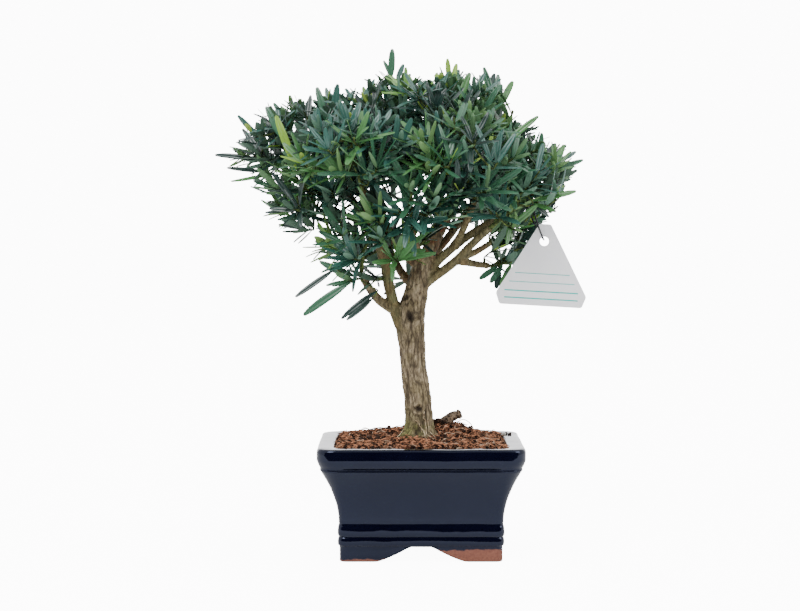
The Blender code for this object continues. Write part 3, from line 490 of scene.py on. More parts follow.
def make_glaze():
    material, tree, shader = new_material(
        "navy stoneware glaze", Specular_IOR_Level=0.6, Specular_Tint=linear("#c2cef2")
    )
    place = add_node(tree, "ShaderNodeTexCoord")
    patterns = []
    for size, detail in ((CLOUD_SIZE, 4), (CLAY_GRAIN, 3), (STRIP_WAVE_SIZE, 5), (RIPPLE_SIZE, 2)):
        values = {"Scale": 1 / (size * MM), "Detail": detail}
        patterns.append(add_node(tree, "ShaderNodeTexNoise", values, {"Vector": (place, "Object")}))
    clouds, grain, edge, ripple = patterns
    colours = []
    for (dark, light), pattern in ((GLAZE_COLOURS, clouds), (CLAY_COLOURS, grain)):
        values = {6: linear(dark), 7: linear(light)}
        colours.append(add_node(tree, "ShaderNodeMix", values, {0: (pattern, "Fac")}, data_type="RGBA"))
    glaze, clay = colours
    parts = add_node(tree, "ShaderNodeSeparateXYZ", None, {"Vector": (place, "Object")})
    right = add_node(
        tree,
        "ShaderNodeMapRange",
        {
            "From Min": PLACE.x + STRIP_STEP[0] * MM,
            "From Max": PLACE.x + STRIP_STEP[1] * MM,
            "To Min": STRIP_HEIGHTS[0] * MM,
            "To Max": STRIP_HEIGHTS[1] * MM,
        },
        {"Value": (parts, "X")},
    )
    bend = add_node(
        tree,
        "ShaderNodeMath",
        {1: STRIP_WAVE_HEIGHT * MM, 2: -STRIP_WAVE_HEIGHT / 2 * MM},
        {0: (edge, "Fac")},
        operation="MULTIPLY_ADD",
    )
    heights = {0: (right, "Result"), 1: (bend, "Value")}
    line = add_node(tree, "ShaderNodeMath", None, heights, operation="ADD")
    above = add_node(
        tree, "ShaderNodeMath", None, {0: (parts, "Z"), 1: (line, "Value")}, operation="SUBTRACT"
    )
    bare = add_node(
        tree,
        "ShaderNodeMapRange",
        {"From Min": -0.5 * MM, "From Max": 0.5 * MM, "To Min": 1.0, "To Max": 0.0},
        {"Value": (above, "Value")},
    )
    look = add_node(
        tree, "ShaderNodeMix", None, {0: (bare, "Result"), 6: (glaze, 2), 7: (clay, 2)}, data_type="RGBA"
    )
    tree.links.new(look.outputs[2], shader.inputs["Base Color"])
    rough = add_node(
        tree, "ShaderNodeMapRange", {"To Min": 0.05, "To Max": 0.85}, {"Value": (bare, "Result")}
    )
    tree.links.new(rough.outputs["Result"], shader.inputs["Roughness"])
    bump = add_node(
        tree, "ShaderNodeBump", {"Strength": 0.25, "Distance": 0.3 * MM}, {"Height": (ripple, "Fac")}
    )
    tree.links.new(bump.outputs["Normal"], shader.inputs["Normal"])
    return material


pot = make_pot(make_glaze())
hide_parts("pot")
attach(pot, "root")
print("glazed_pot:", triangles(pot), "triangles")

# %% [markdown]
# The potting mix is coir and bark: short reddish fibres lying every way over a lumpy bed. The bed
# is a heaped grid, raised by fine noise. Damp organic stuff is matt and shows no gloss, and its
# colour changes from grain to grain, so one finish with two colours and a grain size serves the
# bed, the fibres, the bark lumps, the grit and the roots.

# %% Bed of potting mix
SOIL_EDGE_LEVEL = 82.2
SOIL_LEVEL = 84.4
SOIL_EDGE_WIDTH = 6.0
SOIL_INSET = 12.6
SOIL_FLOOR = 74.0
# the mounds: middle, half width, half depth and rise
SOIL_MOUNDS = ((19, 21, 22, 19, 10.0), (-24, 25, 24, 16, 4.5), (-2, -4, 20, 16, 3.5))
BED_STEP = 0.9


def soil_height(x, y, edge_distance):
    edge_share = min(edge_distance / SOIL_EDGE_WIDTH, 1.0)
    height = SOIL_EDGE_LEVEL + (SOIL_LEVEL - SOIL_EDGE_LEVEL) * edge_share
    for middle_x, middle_y, half_width, half_depth, rise in SOIL_MOUNDS:
        away = ((x - middle_x) / half_width) ** 2 + ((y - middle_y) / half_depth) ** 2
        height += rise * math.exp(-away) * edge_share
    return height


def resting_height(x, y):
    """The height of the mix at a place, or of the rim where the place is beyond the mix."""
    edge_distance = min(POT_HALF_WIDTH - abs(x), POT_HALF_DEPTH - abs(y)) - SOIL_INSET
    return soil_height(x, y, edge_distance) if edge_distance > 0 else POT_HEIGHT


def make_bed(name, inset, finish):
    half_x, half_y = POT_HALF_WIDTH - inset, POT_HALF_DEPTH - inset
    columns, rows = int(2 * half_x / BED_STEP), int(2 * half_y / BED_STEP)
    points = []
    for row in range(rows + 1):
        for column in range(columns + 1):
            x = -half_x + 2 * half_x * column / columns
            y = -half_y + 2 * half_y * row / rows
            edge = min(half_x - abs(x), half_y - abs(y)) + inset - SOIL_INSET
            lumps = 1.1 * wander(x, y, 0, 5, 2.0) + 0.6 * wander(x, y, 0, 1.9, 5.0)
            points.append((x, y, soil_height(x, y, edge) + lumps - 0.5))
    faces = []
    for row in range(rows):
        for column in range(columns):
            low = row * (columns + 1) + column
            faces.append((low, low + 1, low + columns + 2, low + columns + 1))
    rim = [column for column in range(columns + 1)]
    rim += [row * (columns + 1) + columns for row in range(1, rows + 1)]
    rim += [rows * (columns + 1) + column for column in range(columns - 1, -1, -1)]
    rim += [row * (columns + 1) for row in range(rows - 1, 0, -1)]
    first = len(points)
    for index in rim:
        x, y, _ = points[index]
        points.append((x, y, SOIL_FLOOR))
    for step in range(len(rim)):
        following = (step + 1) % len(rim)
        faces.append((rim[following], rim[step], first + step, first + following))
    faces.append(tuple(first + step for step in range(len(rim) - 1, -1, -1)))
    return make_piece(name, points, faces, finish)


def make_mix_finish(name, dark, light, size):
    """A matt finish that changes between two colours over grains of a size."""
    material, tree, shader = new_material(name, Roughness=0.95, Specular_IOR_Level=0.25)
    place = add_node(tree, "ShaderNodeTexCoord")
    grain = add_node(
        tree, "ShaderNodeTexNoise", {"Scale": 1 / (size * MM), "Detail": 6}, {"Vector": (place, "Object")}
    )
    spread = add_node(
        tree, "ShaderNodeMapRange", {"From Min": 0.43, "From Max": 0.59}, {"Value": (grain, "Fac")}
    )
    look = add_node(
        tree, "ShaderNodeMix", {6: linear(dark), 7: linear(light)}, {0: (spread, "Result")}, data_type="RGBA"
    )
    tree.links.new(look.outputs[2], shader.inputs["Base Color"])
    bump = add_node(
        tree, "ShaderNodeBump", {"Strength": 0.6, "Distance": 0.4 * MM}, {"Height": (grain, "Fac")}
    )
    tree.links.new(bump.outputs["Normal"], shader.inputs["Normal"])
    return material


# the bed's near-black is partly the mix's own damp colour and partly painted shade in the gaps between the
# fibres
mix_finish = make_mix_finish("damp coir and bark mix with painted gap shade", "#0d0604", "#512f20", 2.2)
bed = make_bed("potting_mix", SOIL_INSET, mix_finish)
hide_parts("soil")
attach(bed, "root")
print("potting_mix:", triangles(bed), "triangles")

# %% [markdown]
# The fibres repeat by the thousand, so Geometry Nodes strew them: points over the bed, a random one
# of a few bent slivers on each point, laid flat and turned at random, then made real. They are
# strewn over a copy of the bed that is three millimetres smaller, so that none sticks through the
# pot. A tree is built with its named inputs first, and an input is set by its socket's identifier.

# %% Strewn fibres
STREWING_MARGIN = 3.0
FIBRE_GRAIN = 3.4
FIRST_SEED = 11


def sliver(name, length, width, thickness, bend, collection):
    """A bent sliver along X, a tapering box of a few faces, to be strewn."""
    points = []
    for step in range(5):
        share = step / 4
        x = (share - 0.5) * length
        narrow = width / 2 * math.sin(math.pi * (0.12 + 0.76 * share))
        rise = bend * (1 - (2 * share - 1) ** 2)
        for y, z in ((-narrow, 0), (narrow, 0), (narrow * 0.6, thickness), (-narrow * 0.6, thickness)):
            points.append((x, y + 0.4 * bend * share, rise + z))
    faces = skin(5, 4) + [(3, 2, 1, 0), (16, 17, 18, 19)]
    mesh = bpy.data.meshes.new(name)
    mesh.from_pydata([tuple(value * MM for value in point) for point in points], [], faces)
    mesh.update()
    collection.objects.link(bpy.data.objects.new(name, mesh))


def new_tree(name, inputs, output):
    """A Geometry Nodes tree with its named inputs and its one output, and the node of its inputs."""
    tree = bpy.data.node_groups.new(name, "GeometryNodeTree")
    for label, kind in inputs.items():
        tree.interface.new_socket(label, in_out="INPUT", socket_type="NodeSocket" + kind)
    tree.interface.new_socket(output, in_out="OUTPUT", socket_type="NodeSocketGeometry")
    return tree, add_node(tree, "NodeGroupInput")


def strewing_tree():
    """Strews a collection's pieces over a surface's upward faces and makes them real."""
    inputs = {
        "Bed": "Geometry", "Slivers": "Collection", "Number to a square metre": "Float", "Tilt": "Float",
        "Seed": "Int", "Finish": "Material",
    }
    tree, given = new_tree("strew fibres", inputs, "Fibres")
    normal = add_node(tree, "GeometryNodeInputNormal")
    height = add_node(tree, "ShaderNodeSeparateXYZ", None, {"Vector": (normal, "Normal")})
    upward = add_node(
        tree, "FunctionNodeCompare", {1: 0.3}, {0: (height, "Z")}, data_type="FLOAT", operation="GREATER_THAN"
    )
    strew = add_node(
        tree,
        "GeometryNodeDistributePointsOnFaces",
        None,
        {
            "Mesh": (given, "Bed"),
            "Selection": (upward, 0),
            "Density": (given, "Number to a square metre"),
            "Seed": (given, "Seed"),
        },
    )
    pieces = add_node(
        tree,
        "GeometryNodeCollectionInfo",
        {"Separate Children": True, "Reset Children": True},
        {"Collection": (given, "Slivers")},
    )
    down = add_node(tree, "ShaderNodeMath", {1: -1.0}, {0: (given, "Tilt")}, operation="MULTIPLY")
    lowest = add_node(tree, "ShaderNodeCombineXYZ", {"Z": 0.0}, {"X": (down, 0), "Y": (down, 0)})
    highest = add_node(
        tree, "ShaderNodeCombineXYZ", {"Z": math.tau}, {"X": (given, "Tilt"), "Y": (given, "Tilt")}
    )
    turn = add_node(
        tree,
        "FunctionNodeRandomValue",
        {"Seed": 3},
        {"Min": (lowest, 0), "Max": (highest, 0)},
        data_type="FLOAT_VECTOR",
    )
    size = add_node(tree, "FunctionNodeRandomValue", {2: 0.5, 3: 1.25, "Seed": 5}, data_type="FLOAT")
    placed = add_node(
        tree,
        "GeometryNodeInstanceOnPoints",
        {"Pick Instance": True},
        {"Points": (strew, "Points"), "Instance": (pieces, 0), "Rotation": (turn, 0), "Scale": (size, 1)},
    )
    real = add_node(tree, "GeometryNodeRealizeInstances", None, {"Geometry": (placed, 0)})
    finished = add_node(
        tree, "GeometryNodeSetMaterial", None, {"Geometry": (real, 0), "Material": (given, "Finish")}
    )
    add_node(tree, "NodeGroupOutput", None, {"Fibres": (finished, 0)})
    return tree


def run_tree(name, source, tree, values):
    """The mesh piece that a Geometry Nodes tree makes from a source object."""
    modifier = source.modifiers.new(name, "NODES")
    modifier.node_group = tree
    for item in tree.interface.items_tree:
        if item.in_out == "INPUT" and item.name in values:
            modifier[item.identifier] = values[item.name]
    source.update_tag()
    mesh = evaluated_mesh(source)
    source.modifiers.remove(modifier)
    if mesh.materials[0] is None:
        mesh.materials.pop(index=0)
    mesh.name = name
    return put_in_scene(name, mesh)


def drop_collection(collection):
    for item in list(collection.objects):
        bpy.data.objects.remove(item)
    bpy.data.collections.remove(collection)


# each kind: its finish, dark and light, the length, width, thickness and bend of each of its slivers,
# how many lie on a square metre, and how far they tilt
FIBRE_KINDS = {
    "coir_fibres": (
        "red coir fibre", "#180a06", "#cc8e6b",
        ((8, 0.45, 0.35, 1.2), (5, 0.4, 0.35, 0.8), (10, 0.5, 0.35, 1.8)), 270000, 0.4,
    ),
    "bark_crumbs": (
        "dark bark crumb", "#100805", "#583626",
        ((3.4, 2.2, 1.2, 0.2), (2.2, 1.6, 1.0, 0.1), (5.0, 2.0, 1.0, 0.3)), 85000, 0.5,
    ),
    "pale_fibres": (
        "pale dry fibre", "#94745c", "#dcbfa6",
        ((8, 0.5, 0.35, 1.6), (5, 0.4, 0.3, 0.8)), 26000, 0.3,
    ),
}
strewing = strewing_tree()
strewn_bed = make_bed("strewn_bed", SOIL_INSET + STREWING_MARGIN, mix_finish)
for number, (name, kind) in enumerate(FIBRE_KINDS.items()):
    finish_name, dark, light, slivers, density, tilt = kind
    shapes = bpy.data.collections.new(name + "_shapes")
    for index, sizes in enumerate(slivers):
        sliver(f"{name}_shape_{index}", *sizes, shapes)
    values = {
        "Slivers": shapes,
        "Number to a square metre": float(density),
        "Tilt": tilt,
        "Seed": FIRST_SEED + number,
        "Finish": make_mix_finish(finish_name, dark, light, FIBRE_GRAIN),
    }
    fibres = run_tree(name, strewn_bed, strewing, values)
    drop_collection(shapes)
    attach(fibres, "root")
    print(name + ":", triangles(fibres), "triangles")
bpy.data.objects.remove(strewn_bed)

# %% [markdown]
# On the mix lie the few larger things that the photo shows: a slab of weathered bark with some
# dark lumps beside it behind the trunk, and a pinch of pale and dark grit in the back right
# corner. Each lump and grain rests on the mix, or on the rim where it has rolled out that far.

# %% Bark slab and grit
def lump(middle, sizes, turn, seed):
    """A lump with flat broken sides: a squared-off ball, roughened by noise."""
    points = []
    rings, around = 9, 14
    spin = Matrix.Rotation(turn[2], 3, "Z") @ Matrix.Rotation(turn[1], 3, "Y")
    spin = spin @ Matrix.Rotation(turn[0], 3, "X")
    for ring in range(1, rings):
        lean = math.pi * ring / rings
        for step in range(around):
            angle = step * math.tau / around
            ball = (math.sin(lean) * math.cos(angle), math.sin(lean) * math.sin(angle), math.cos(lean))
            square = [math.copysign(abs(value) ** 0.55, value) for value in ball]
            rough = 1 + 0.22 * wander(square[0], square[1], square[2], 0.7, seed)
            place = Vector([square[axis] * sizes[axis] / 2 * rough for axis in range(3)])
            points.append(tuple(Vector(middle) + spin @ place))
    faces = [face[::-1] for face in skin(rings - 1, around)]
    faces += [tuple(range(around)), tuple(range((rings - 1) * around - 1, (rings - 2) * around - 1, -1))]
    return points, faces


def joined_piece(name, parts, finish, smooth=True):
    piece = make_piece(name, *joined(parts), finish, smooth=smooth)
    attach(piece, "root")
    print(name + ":", triangles(piece), "triangles")


SUNK_SHARE = 0.2


def resting_lumps(rows, turning, squash, seed):
    """A lump for each row of across, how far back and size, sunk a little into what carries it."""
    found = []
    for index, (x, y, size) in enumerate(rows):
        turn = tuple(index * rate for rate in turning)
        middle = (x, y, resting_height(x, y) + SUNK_SHARE * size)
        found.append(lump(middle, (size, size * 0.8, size * squash), turn, seed + index))
    return found


slab_finish = make_mix_finish("weathered bark slab", "#30241b", "#8a7763", 2.0)
slab = [lump((21.5, 20, 97.6), (19, 9, 5.5), (0.25, -0.5, 0.15), 1.0)]
slab += [lump((29.6, 21, 101.0), (3.2, 8, 6.5), (0.1, -0.3, 0.1), 2.0)]
joined_piece("bark_slab", slab, slab_finish, smooth=False)
lump_finish = make_mix_finish("dark bark lump", "#140c08", "#4a3428", 1.2)
LUMPS = (
    # across, how far back, size
    (8.5, 20, 7.5), (13.0, 18, 6.0), (17.5, 14, 5.5), (24.5, 13, 4.5), (31.5, 20, 4.0), (38.0, 24, 4.0),
    (43.0, 22, 3.6), (50.0, 30, 3.0), (-24.0, 26, 4.0), (-12.0, 30, 4.5), (66.0, 38, 2.4), (69.0, 36, 2.2),
    (67.6, 33, 1.8), (-50, -10, 4.0), (-44, -12, 5.0), (-38, -9, 5.5), (-32, -11, 5.0), (-27, -8, 4.5),
    (-16, -14, 3.5), (13, -15, 3.5), (19, -13, 4.0), (46, -2, 3.5),
)
lumps = resting_lumps(LUMPS, (1.3, 0.9, 2.1), 0.7, 3.0)
joined_piece("bark_lumps", lumps, lump_finish, smooth=False)
grit_finish = make_mix_finish("pale stone grit", "#b8b4aa", "#efece4", 1.0)
GRIT = (
    # across, how far back, size
    (63.5, 36, 2.4), (65.0, 34.5, 1.8), (61.8, 38, 1.6), (-19.8, -26, 1.6), (38.0, -10, 1.2), (-46.0, 4, 1.1),
    (12.0, -34, 1.1), (52.0, -18, 1.0),
)
joined_piece("pale_grit", resting_lumps(GRIT, (1, 2.3, 0.7), 0.8, 20.0), grit_finish)

# %% [markdown]
# The limbs follow the same lines as the imported solids: one smooth curve through a few points for
# each, with the wood's radius carried along it. As separate tubes they would meet in hard creases,
# so the tubes are melted together by a voxel remesh, the way a bough really grows out of its
# parent. The tubes start a little thick, because the melted skin shrinks as it is smoothed. The
# bark's relief is then pressed into that one skin: long fissures on the old trunk, a fine
# unevenness on the young wood.

# %% Lines of the limbs
TRUNK_ROUTE = (
    (-0.9, 0.0, 79.8, 10.4), (-1.0, 0.0, 93.8, 9.8), (-2.0, 0.0, 113.8, 9.4), (-5.0, 0.0, 136.8, 9.0),
    (-6.6, 0.0, 154.8, 9.2), (-7.4, 0.0, 167.8, 9.8), (-6.8, 0.0, 180.8, 9.3), (-3.0, 0.0, 195.8, 8.1),
    (0.1, 0.0, 209.8, 6.8), (5.2, 0.5, 222.2, 5.4), (11.2, 1.0, 236.3, 4.5), (19.0, 3.0, 251.3, 4.0),
    (26.5, 4.0, 264.3, 3.3), (30.5, 4.0, 278.8, 2.7), (28.5, 3.0, 298.8, 2.2),
)
BOUGHS = {
    # how old and how red the bark looks, then the line
    "bough_left_upright": (0.25, 0.25, (
        (-8.0, -1.0, 157.0, 3.6), (-10.5, -2.0, 161.8, 4.4), (-17.6, -2.5, 177.3, 4.0),
        (-21.4, -2.5, 190.8, 3.5), (-24.9, -3.0, 206.3, 3.3), (-28.6, -5.0, 227.8, 2.7),
        (-43.5, -8.0, 244.8, 1.9),
    )),
    "bough_left_low": (0.7, 0.2, (
        (-19.0, -2.5, 182.5, 2.9), (-28.8, -4.0, 187.2, 2.8), (-34.4, -7.5, 193.0, 2.6),
        (-39.4, -12.0, 200.2, 2.3), (-42.8, -16.5, 206.0, 2.0),
    )),
    "bough_front_left": (0.3, 0.3, (
        (-27.0, -4.0, 217.8, 2.3), (-32.0, -18.0, 231.8, 2.2), (-38.0, -35.0, 252.8, 2.0),
        (-42.0, -49.0, 270.3, 1.8),
    )),
    "bough_centre_left": (0.85, 0.5, (
        (1.5, 0.0, 214.3, 3.6), (-8.7, -0.5, 220.8, 3.2), (-19.1, 1.0, 231.3, 2.9),
        (-26.5, 5.0, 246.8, 2.6), (-33.0, 8.0, 264.8, 2.2), (-37.0, 8.0, 281.8, 1.9),
    )),
    "bough_left": (0.6, 0.5, (
        (-19.5, 1.0, 231.8, 2.3), (-31.0, 2.5, 240.8, 2.2), (-46.0, 3.5, 256.8, 2.0),
        (-57.0, 3.0, 272.8, 1.8), (-65.0, 1.0, 284.8, 1.7),
    )),
    "bough_back_left": (0.7, 0.6, (
        (-2.0, 2.0, 197.8, 2.9), (-11.7, 10.0, 205.3, 2.6), (-21.0, 23.0, 220.8, 2.3),
        (-27.5, 34.0, 239.8, 2.0), (-32.0, 42.0, 258.8, 1.8),
    )),
    "bough_back_right": (0.6, 0.6, (
        (3.0, 2.0, 215.8, 2.9), (12.5, 16.0, 225.3, 2.6), (25.0, 31.0, 239.8, 2.2),
        (37.0, 43.0, 256.8, 1.8),
    )),
    "bough_front": (0.6, 0.5, (
        (3.5, -1.0, 217.8, 2.7), (-0.5, -15.0, 222.8, 2.4), (-4.5, -26.0, 231.3, 2.1),
        (-7.0, -34.5, 240.3, 1.8),
    )),
    "bough_right_upper": (0.4, 0.15, (
        (5.5, 0.0, 210.8, 2.8), (15.2, -2.0, 220.4, 2.6), (30.8, -4.0, 233.4, 2.4),
        (46.5, -7.0, 243.8, 2.1), (60.0, -11.0, 252.8, 2.0), (73.0, -13.0, 260.3, 1.9),
        (85.0, -10.5, 268.8, 1.8),
    )),
    "bough_front_right": (0.4, 0.2, (
        (25.0, -3.2, 228.6, 2.0), (30.0, -15.0, 239.3, 1.9), (35.0, -29.0, 252.3, 1.8),
        (38.0, -40.0, 262.8, 1.7),
    )),
    "bough_right_lower": (0.45, 0.15, (
        (1.0, -1.0, 200.8, 3.0), (11.4, -3.0, 207.1, 2.8), (25.6, -6.0, 217.8, 2.5),
        (39.0, -11.0, 231.8, 2.2), (51.0, -17.5, 242.8, 1.9),
    )),
    "bough_right_low": (0.5, 0.3, (
        (27.5, -6.5, 218.8, 1.9), (38.5, -3.0, 216.0, 1.8), (50.5, 3.0, 214.2, 1.6),
    )),
    "bough_right_middle": (0.5, 0.3, (
        (30.5, -7.5, 221.8, 1.7), (39.5, -6.0, 224.1, 1.6), (52.0, 0.0, 231.3, 1.4),
    )),
    "bough_top_right": (0.4, 0.4, (
        (23.0, 3.5, 258.8, 2.5), (34.5, 5.0, 269.3, 2.2), (46.0, 6.0, 281.8, 2.0),
        (55.0, 6.0, 293.3, 1.8),
    )),
}


def smooth_line(route, steps, closed=False):
    """A Catmull-Rom curve through a route. A fourth number, the radius, is carried along."""
    knots = [np.array(point, dtype=float) for point in route]
    count = len(knots)
    line = []
    for span in range(count if closed else count - 1):
        around = [span + shift for shift in (-1, 0, 1, 2)]
        if closed:
            before, start, end, after = (knots[index % count] for index in around)
        else:
            before, start, end, after = (knots[min(max(index, 0), count - 1)] for index in around)
        for step in range(steps):
            s = step / steps
            bend = (2 * before - 5 * start + 4 * end - after) * s**2
            twist = (3 * start - before - 3 * end + after) * s**3
            line.append(0.5 * (2 * start + (end - before) * s + bend + twist))
    if not closed:
        line.append(knots[-1])
    return np.array(line)


def tube(line, sides, shape=None, closed=False):
    """Points and faces of a tube along a line of places and radii."""
    places = [Vector(point[:3]) for point in line]
    count = len(places)
    points = []
    side = None
    for index, place in enumerate(places):
        if closed:
            heading = (places[(index + 1) % count] - places[index - 1]).normalized()
        else:
            heading = (places[min(index + 1, count - 1)] - places[max(index - 1, 0)]).normalized()
        side = (side or heading.orthogonal()) - heading * (side or heading.orthogonal()).dot(heading)
        side.normalize()
        other = heading.cross(side)
        for step in range(sides):
            angle = step * math.tau / sides
            outward = side * math.cos(angle) + other * math.sin(angle)
            radius = line[index][3] * (shape(place, outward) if shape else 1.0)
            points.append(tuple(place + outward * radius))
    faces = skin(count, sides)
    last = (count - 1) * sides
    if closed:
        faces += [(last + s, last + (s + 1) % sides, (s + 1) % sides, s) for s in range(sides)]
    else:
        faces += [tuple(range(sides - 1, -1, -1)), tuple(range(last, last + sides))]
    return points, faces


FLARE_LEVEL = 81.0
FLARE_HEIGHT = 9.0
FLARE_SHARE = 0.62


def root_flare(place, outward):
    """The trunk's foot spreads into five low roots, the most on the left."""
    rise = (place.z - FLARE_LEVEL) / FLARE_HEIGHT
    angle = math.atan2(outward.y, outward.x)
    spread = 1 + 0.4 * math.cos(5 * angle + 0.6) - 0.35 * outward.x
    return 1 + FLARE_SHARE * math.exp(-rise * rise) * spread


limb_lines = {"trunk": smooth_line(TRUNK_ROUTE, 8)}
for name, (_, _, route) in BOUGHS.items():
    limb_lines[name] = smooth_line(route, 6)
print("limbs:", len(limb_lines), "with", sum(len(line) for line in limb_lines.values()), "points in all")


# %% One skin over all the wood
BARK_VOXEL = 0.64
SKIN_ALLOWANCE = 0.8
COLLAR_SHARE = 0.55
COLLAR_LENGTH = 7.0
BLEND_LENGTH = 0.8
BLOCK = 4000


def collar(line):
    """A bough's line, swollen where it leaves its parent."""
    swollen = line.copy()
    along = np.linalg.norm(line[:, :3] - line[0, :3], axis=1)
    swollen[:, 3] *= 1 + COLLAR_SHARE * np.exp(-((along / COLLAR_LENGTH) ** 2))
    return swollen


def wood_skin():
    parts = []
    for name, line in limb_lines.items():
        thick = line if name == "trunk" else collar(line)
        thick = thick + np.array((0, 0, 0, SKIN_ALLOWANCE))
        parts.append(tube(thick, 36, root_flare) if name == "trunk" else tube(thick, 12))
    rough = make_piece("rough_wood", *joined(parts))
    remesh = rough.modifiers.new("melt", "REMESH")
    remesh.mode = "VOXEL"
    remesh.voxel_size = BARK_VOXEL * MM
    remesh.use_smooth_shade = True
    relax = rough.modifiers.new("relax", "SMOOTH")
    relax.factor = 0.5
    relax.iterations = 4
    mesh = evaluated_mesh(rough)
    bpy.data.objects.remove(rough)
    return mesh


def limb_shares(points):
    """For each point its distance along every limb, its radius there, and how much it belongs to it."""
    segments = []
    owners = []
    for number, line in enumerate(limb_lines.values()):
        segments.append(np.hstack([line[:-1], line[1:]]))
        owners += [number] * (len(line) - 1)
    segments = np.vstack(segments)
    owners = np.array(owners)
    start, start_radius = segments[:, :3], segments[:, 3]
    run, end_radius = segments[:, 4:7] - start, segments[:, 7]
    length = (run**2).sum(axis=1)
    shares = np.zeros((len(points), len(limb_lines)))
    radius_at = np.zeros(len(points))
    for begin in range(0, len(points), BLOCK):
        block = points[begin:begin + BLOCK]
        offset = block[:, None, :] - start[None]
        along = np.clip((offset * run[None]).sum(axis=2) / length, 0, 1)
        away = np.linalg.norm(offset - along[..., None] * run[None], axis=2)
        radius = start_radius + (end_radius - start_radius) * along
        beyond = np.maximum(away - radius, 0)
        for number in range(len(limb_lines)):
            mine = owners == number
            nearest = beyond[:, mine].min(axis=1)
            shares[begin:begin + BLOCK, number] = np.exp(-nearest / BLEND_LENGTH)
        closest = beyond.argmin(axis=1)
        radius_at[begin:begin + BLOCK] = radius[np.arange(len(block)), closest]
    shares /= shares.sum(axis=1, keepdims=True)
    return shares, radius_at


# %% [markdown]
# The relief follows how old the wood is. Each point of the skin takes its age and its redness from
# the limbs that it lies on. Old wood is split into plates by long cracks, and young wood is only
# finely uneven. Four marks are pressed in by name, where the photo shows them: a knot, a scar with
# a raised lip, the cleft of the fork and a hollow at the foot. Each is darkened in colour over its
# pit, partly the mark's own dark colour and partly painted shade.

# %% Bark relief
LEADER_LEVEL = 205
LEADER_REACH = 75
RED_LEVEL = 240
RED_REACH = 24
MOSS_LEVEL = 90
MOSS_REACH = 13
# each mark: its place, how it is stretched, how ragged its edge is, the height, radius and width of
# its raised lip, the depth and radius of its pit, and the strength and radius of its dark colour,
# which is partly the mark's own and partly painted shade in the pit
MARKS = {
    "knot": ((-1.4, -9.6, 108.3), (1, 1, 1), 0.9, (1.2, 3.7, 1.1), (1.4, 2.2), (1.0, 2.3)),
    "scar": ((-8.0, -9.0, 177.5), (0.95, 1, 0.7), 2.4, (1.1, 5.4, 1.5), (2.6, 3.7), (1.0, 4.0)),
    "cleft": ((-12.0, -6.0, 191.0), (0.8, 1, 1), 1.5, (0.0, 1.0, 1.0), (1.2, 3.0), (0.8, 3.0)),
    "foot": ((-2.6, -12.0, 91.5), (1.1, 1, 0.6), 1.3, (0.0, 1.0, 1.0), (1.4, 3.2), (0.7, 2.8)),
}


def bell(distance, width, power=2):
    """1 at no distance, falling to 0 beyond a width."""
    return np.exp(-((distance / width) ** power))


wood_mesh = wood_skin()
count = len(wood_mesh.vertices)
places = np.zeros(count * 3)
normals = np.zeros(count * 3)
wood_mesh.vertices.foreach_get("co", places)
wood_mesh.vertices.foreach_get("normal", normals)
places = (places.reshape(-1, 3) - np.array(PLACE)) / MM
normals = normals.reshape(-1, 3)
shares, radius_at = limb_shares(places)
ages = np.array([1.0] + [age for age, _, _ in BOUGHS.values()])
reds = np.array([0.1] + [red for _, red, _ in BOUGHS.values()])
age = shares @ ages
red = shares @ reds
rise = places[:, 2]
high = np.clip((rise - LEADER_LEVEL) / LEADER_REACH, 0, 1) * shares[:, 0]
age -= 0.65 * high
red += 0.95 * shares[:, 0] * bell(rise - RED_LEVEL, RED_REACH)
depth = np.zeros(count)
hollow = np.zeros(count)
ragged = np.zeros(count)
for index, (x, y, z) in enumerate(places):
    old = max(age[index], 0.0)
    size = radius_at[index]
    crack = math.exp(-((wander(x, y, z * 0.2, 3.6, 7.0) / 0.13) ** 2))
    crack = max(crack, 0.8 * math.exp(-((wander(x, y, z * 0.35, 2.2, 4.0) / 0.1) ** 2)))
    plates = wander(x, y, z * 0.5, 6.0, 2.0)
    grain = wander(x, y, z * 0.4, 1.4, 9.0)
    depth[index] = old * size * (0.06 * plates + 0.035 * grain - 0.075 * crack)
    depth[index] += (1 - old) * size * (0.05 * wander(x, y, z, 2.4, 3.0) + 0.03 * grain)
    # the cracks of old wood are kept, to paint shade into the bark's colour in its fissures
    hollow[index] = crack * old
    ragged[index] = wander(x, y, z, 4.0, 6.0)
scar = np.zeros(count)
for middle, stretch, raggedness, lip, pit, darkness in MARKS.values():
    away = np.linalg.norm((places - np.array(middle)) * np.array(stretch), axis=1) + raggedness * ragged
    depth += lip[0] * bell(away - lip[1], lip[2]) - pit[0] * bell(away, pit[1])
    # the marks' dark colour: partly their own, partly painted shade in their pits
    scar += darkness[0] * bell(away, darkness[1], 4)
places += normals * depth[:, None]
moss = bell(rise - MOSS_LEVEL, MOSS_REACH) * (0.45 - 0.05 * places[:, 0] + 0.9 * ragged) * shares[:, 0]
finished = places * MM + np.array(PLACE)
wood_mesh.vertices.foreach_set("co", finished.ravel())
looks = {"age": age, "red": red, "scar": scar, "hollow": hollow, "moss": moss}
for name, values in looks.items():
    attribute = wood_mesh.attributes.new(name, "FLOAT", "POINT")
    attribute.data.foreach_set("value", np.clip(values, 0, 1).astype(np.float32))
wood_mesh.update()
print("bark skin:", count, "points, relief from", round(depth.min(), 2), "to", round(depth.max(), 2), "mm")

# %% [markdown]
# Old podocarpus bark is grey-brown and dry; young wood is olive, and in between it flakes to show a
# red-brown layer. A yellow-green film of moss grows on the trunk's foot. The fissures of old wood are
# darkened in colour as painted shade. Those looks are mixed by the values stored on the skin, and
# broken up by grain stretched along the trunk.

# %% Bark
BARK_GRAIN = 1.786
BARK_PATCH = 7.69
GRAIN_STRETCH = 0.3
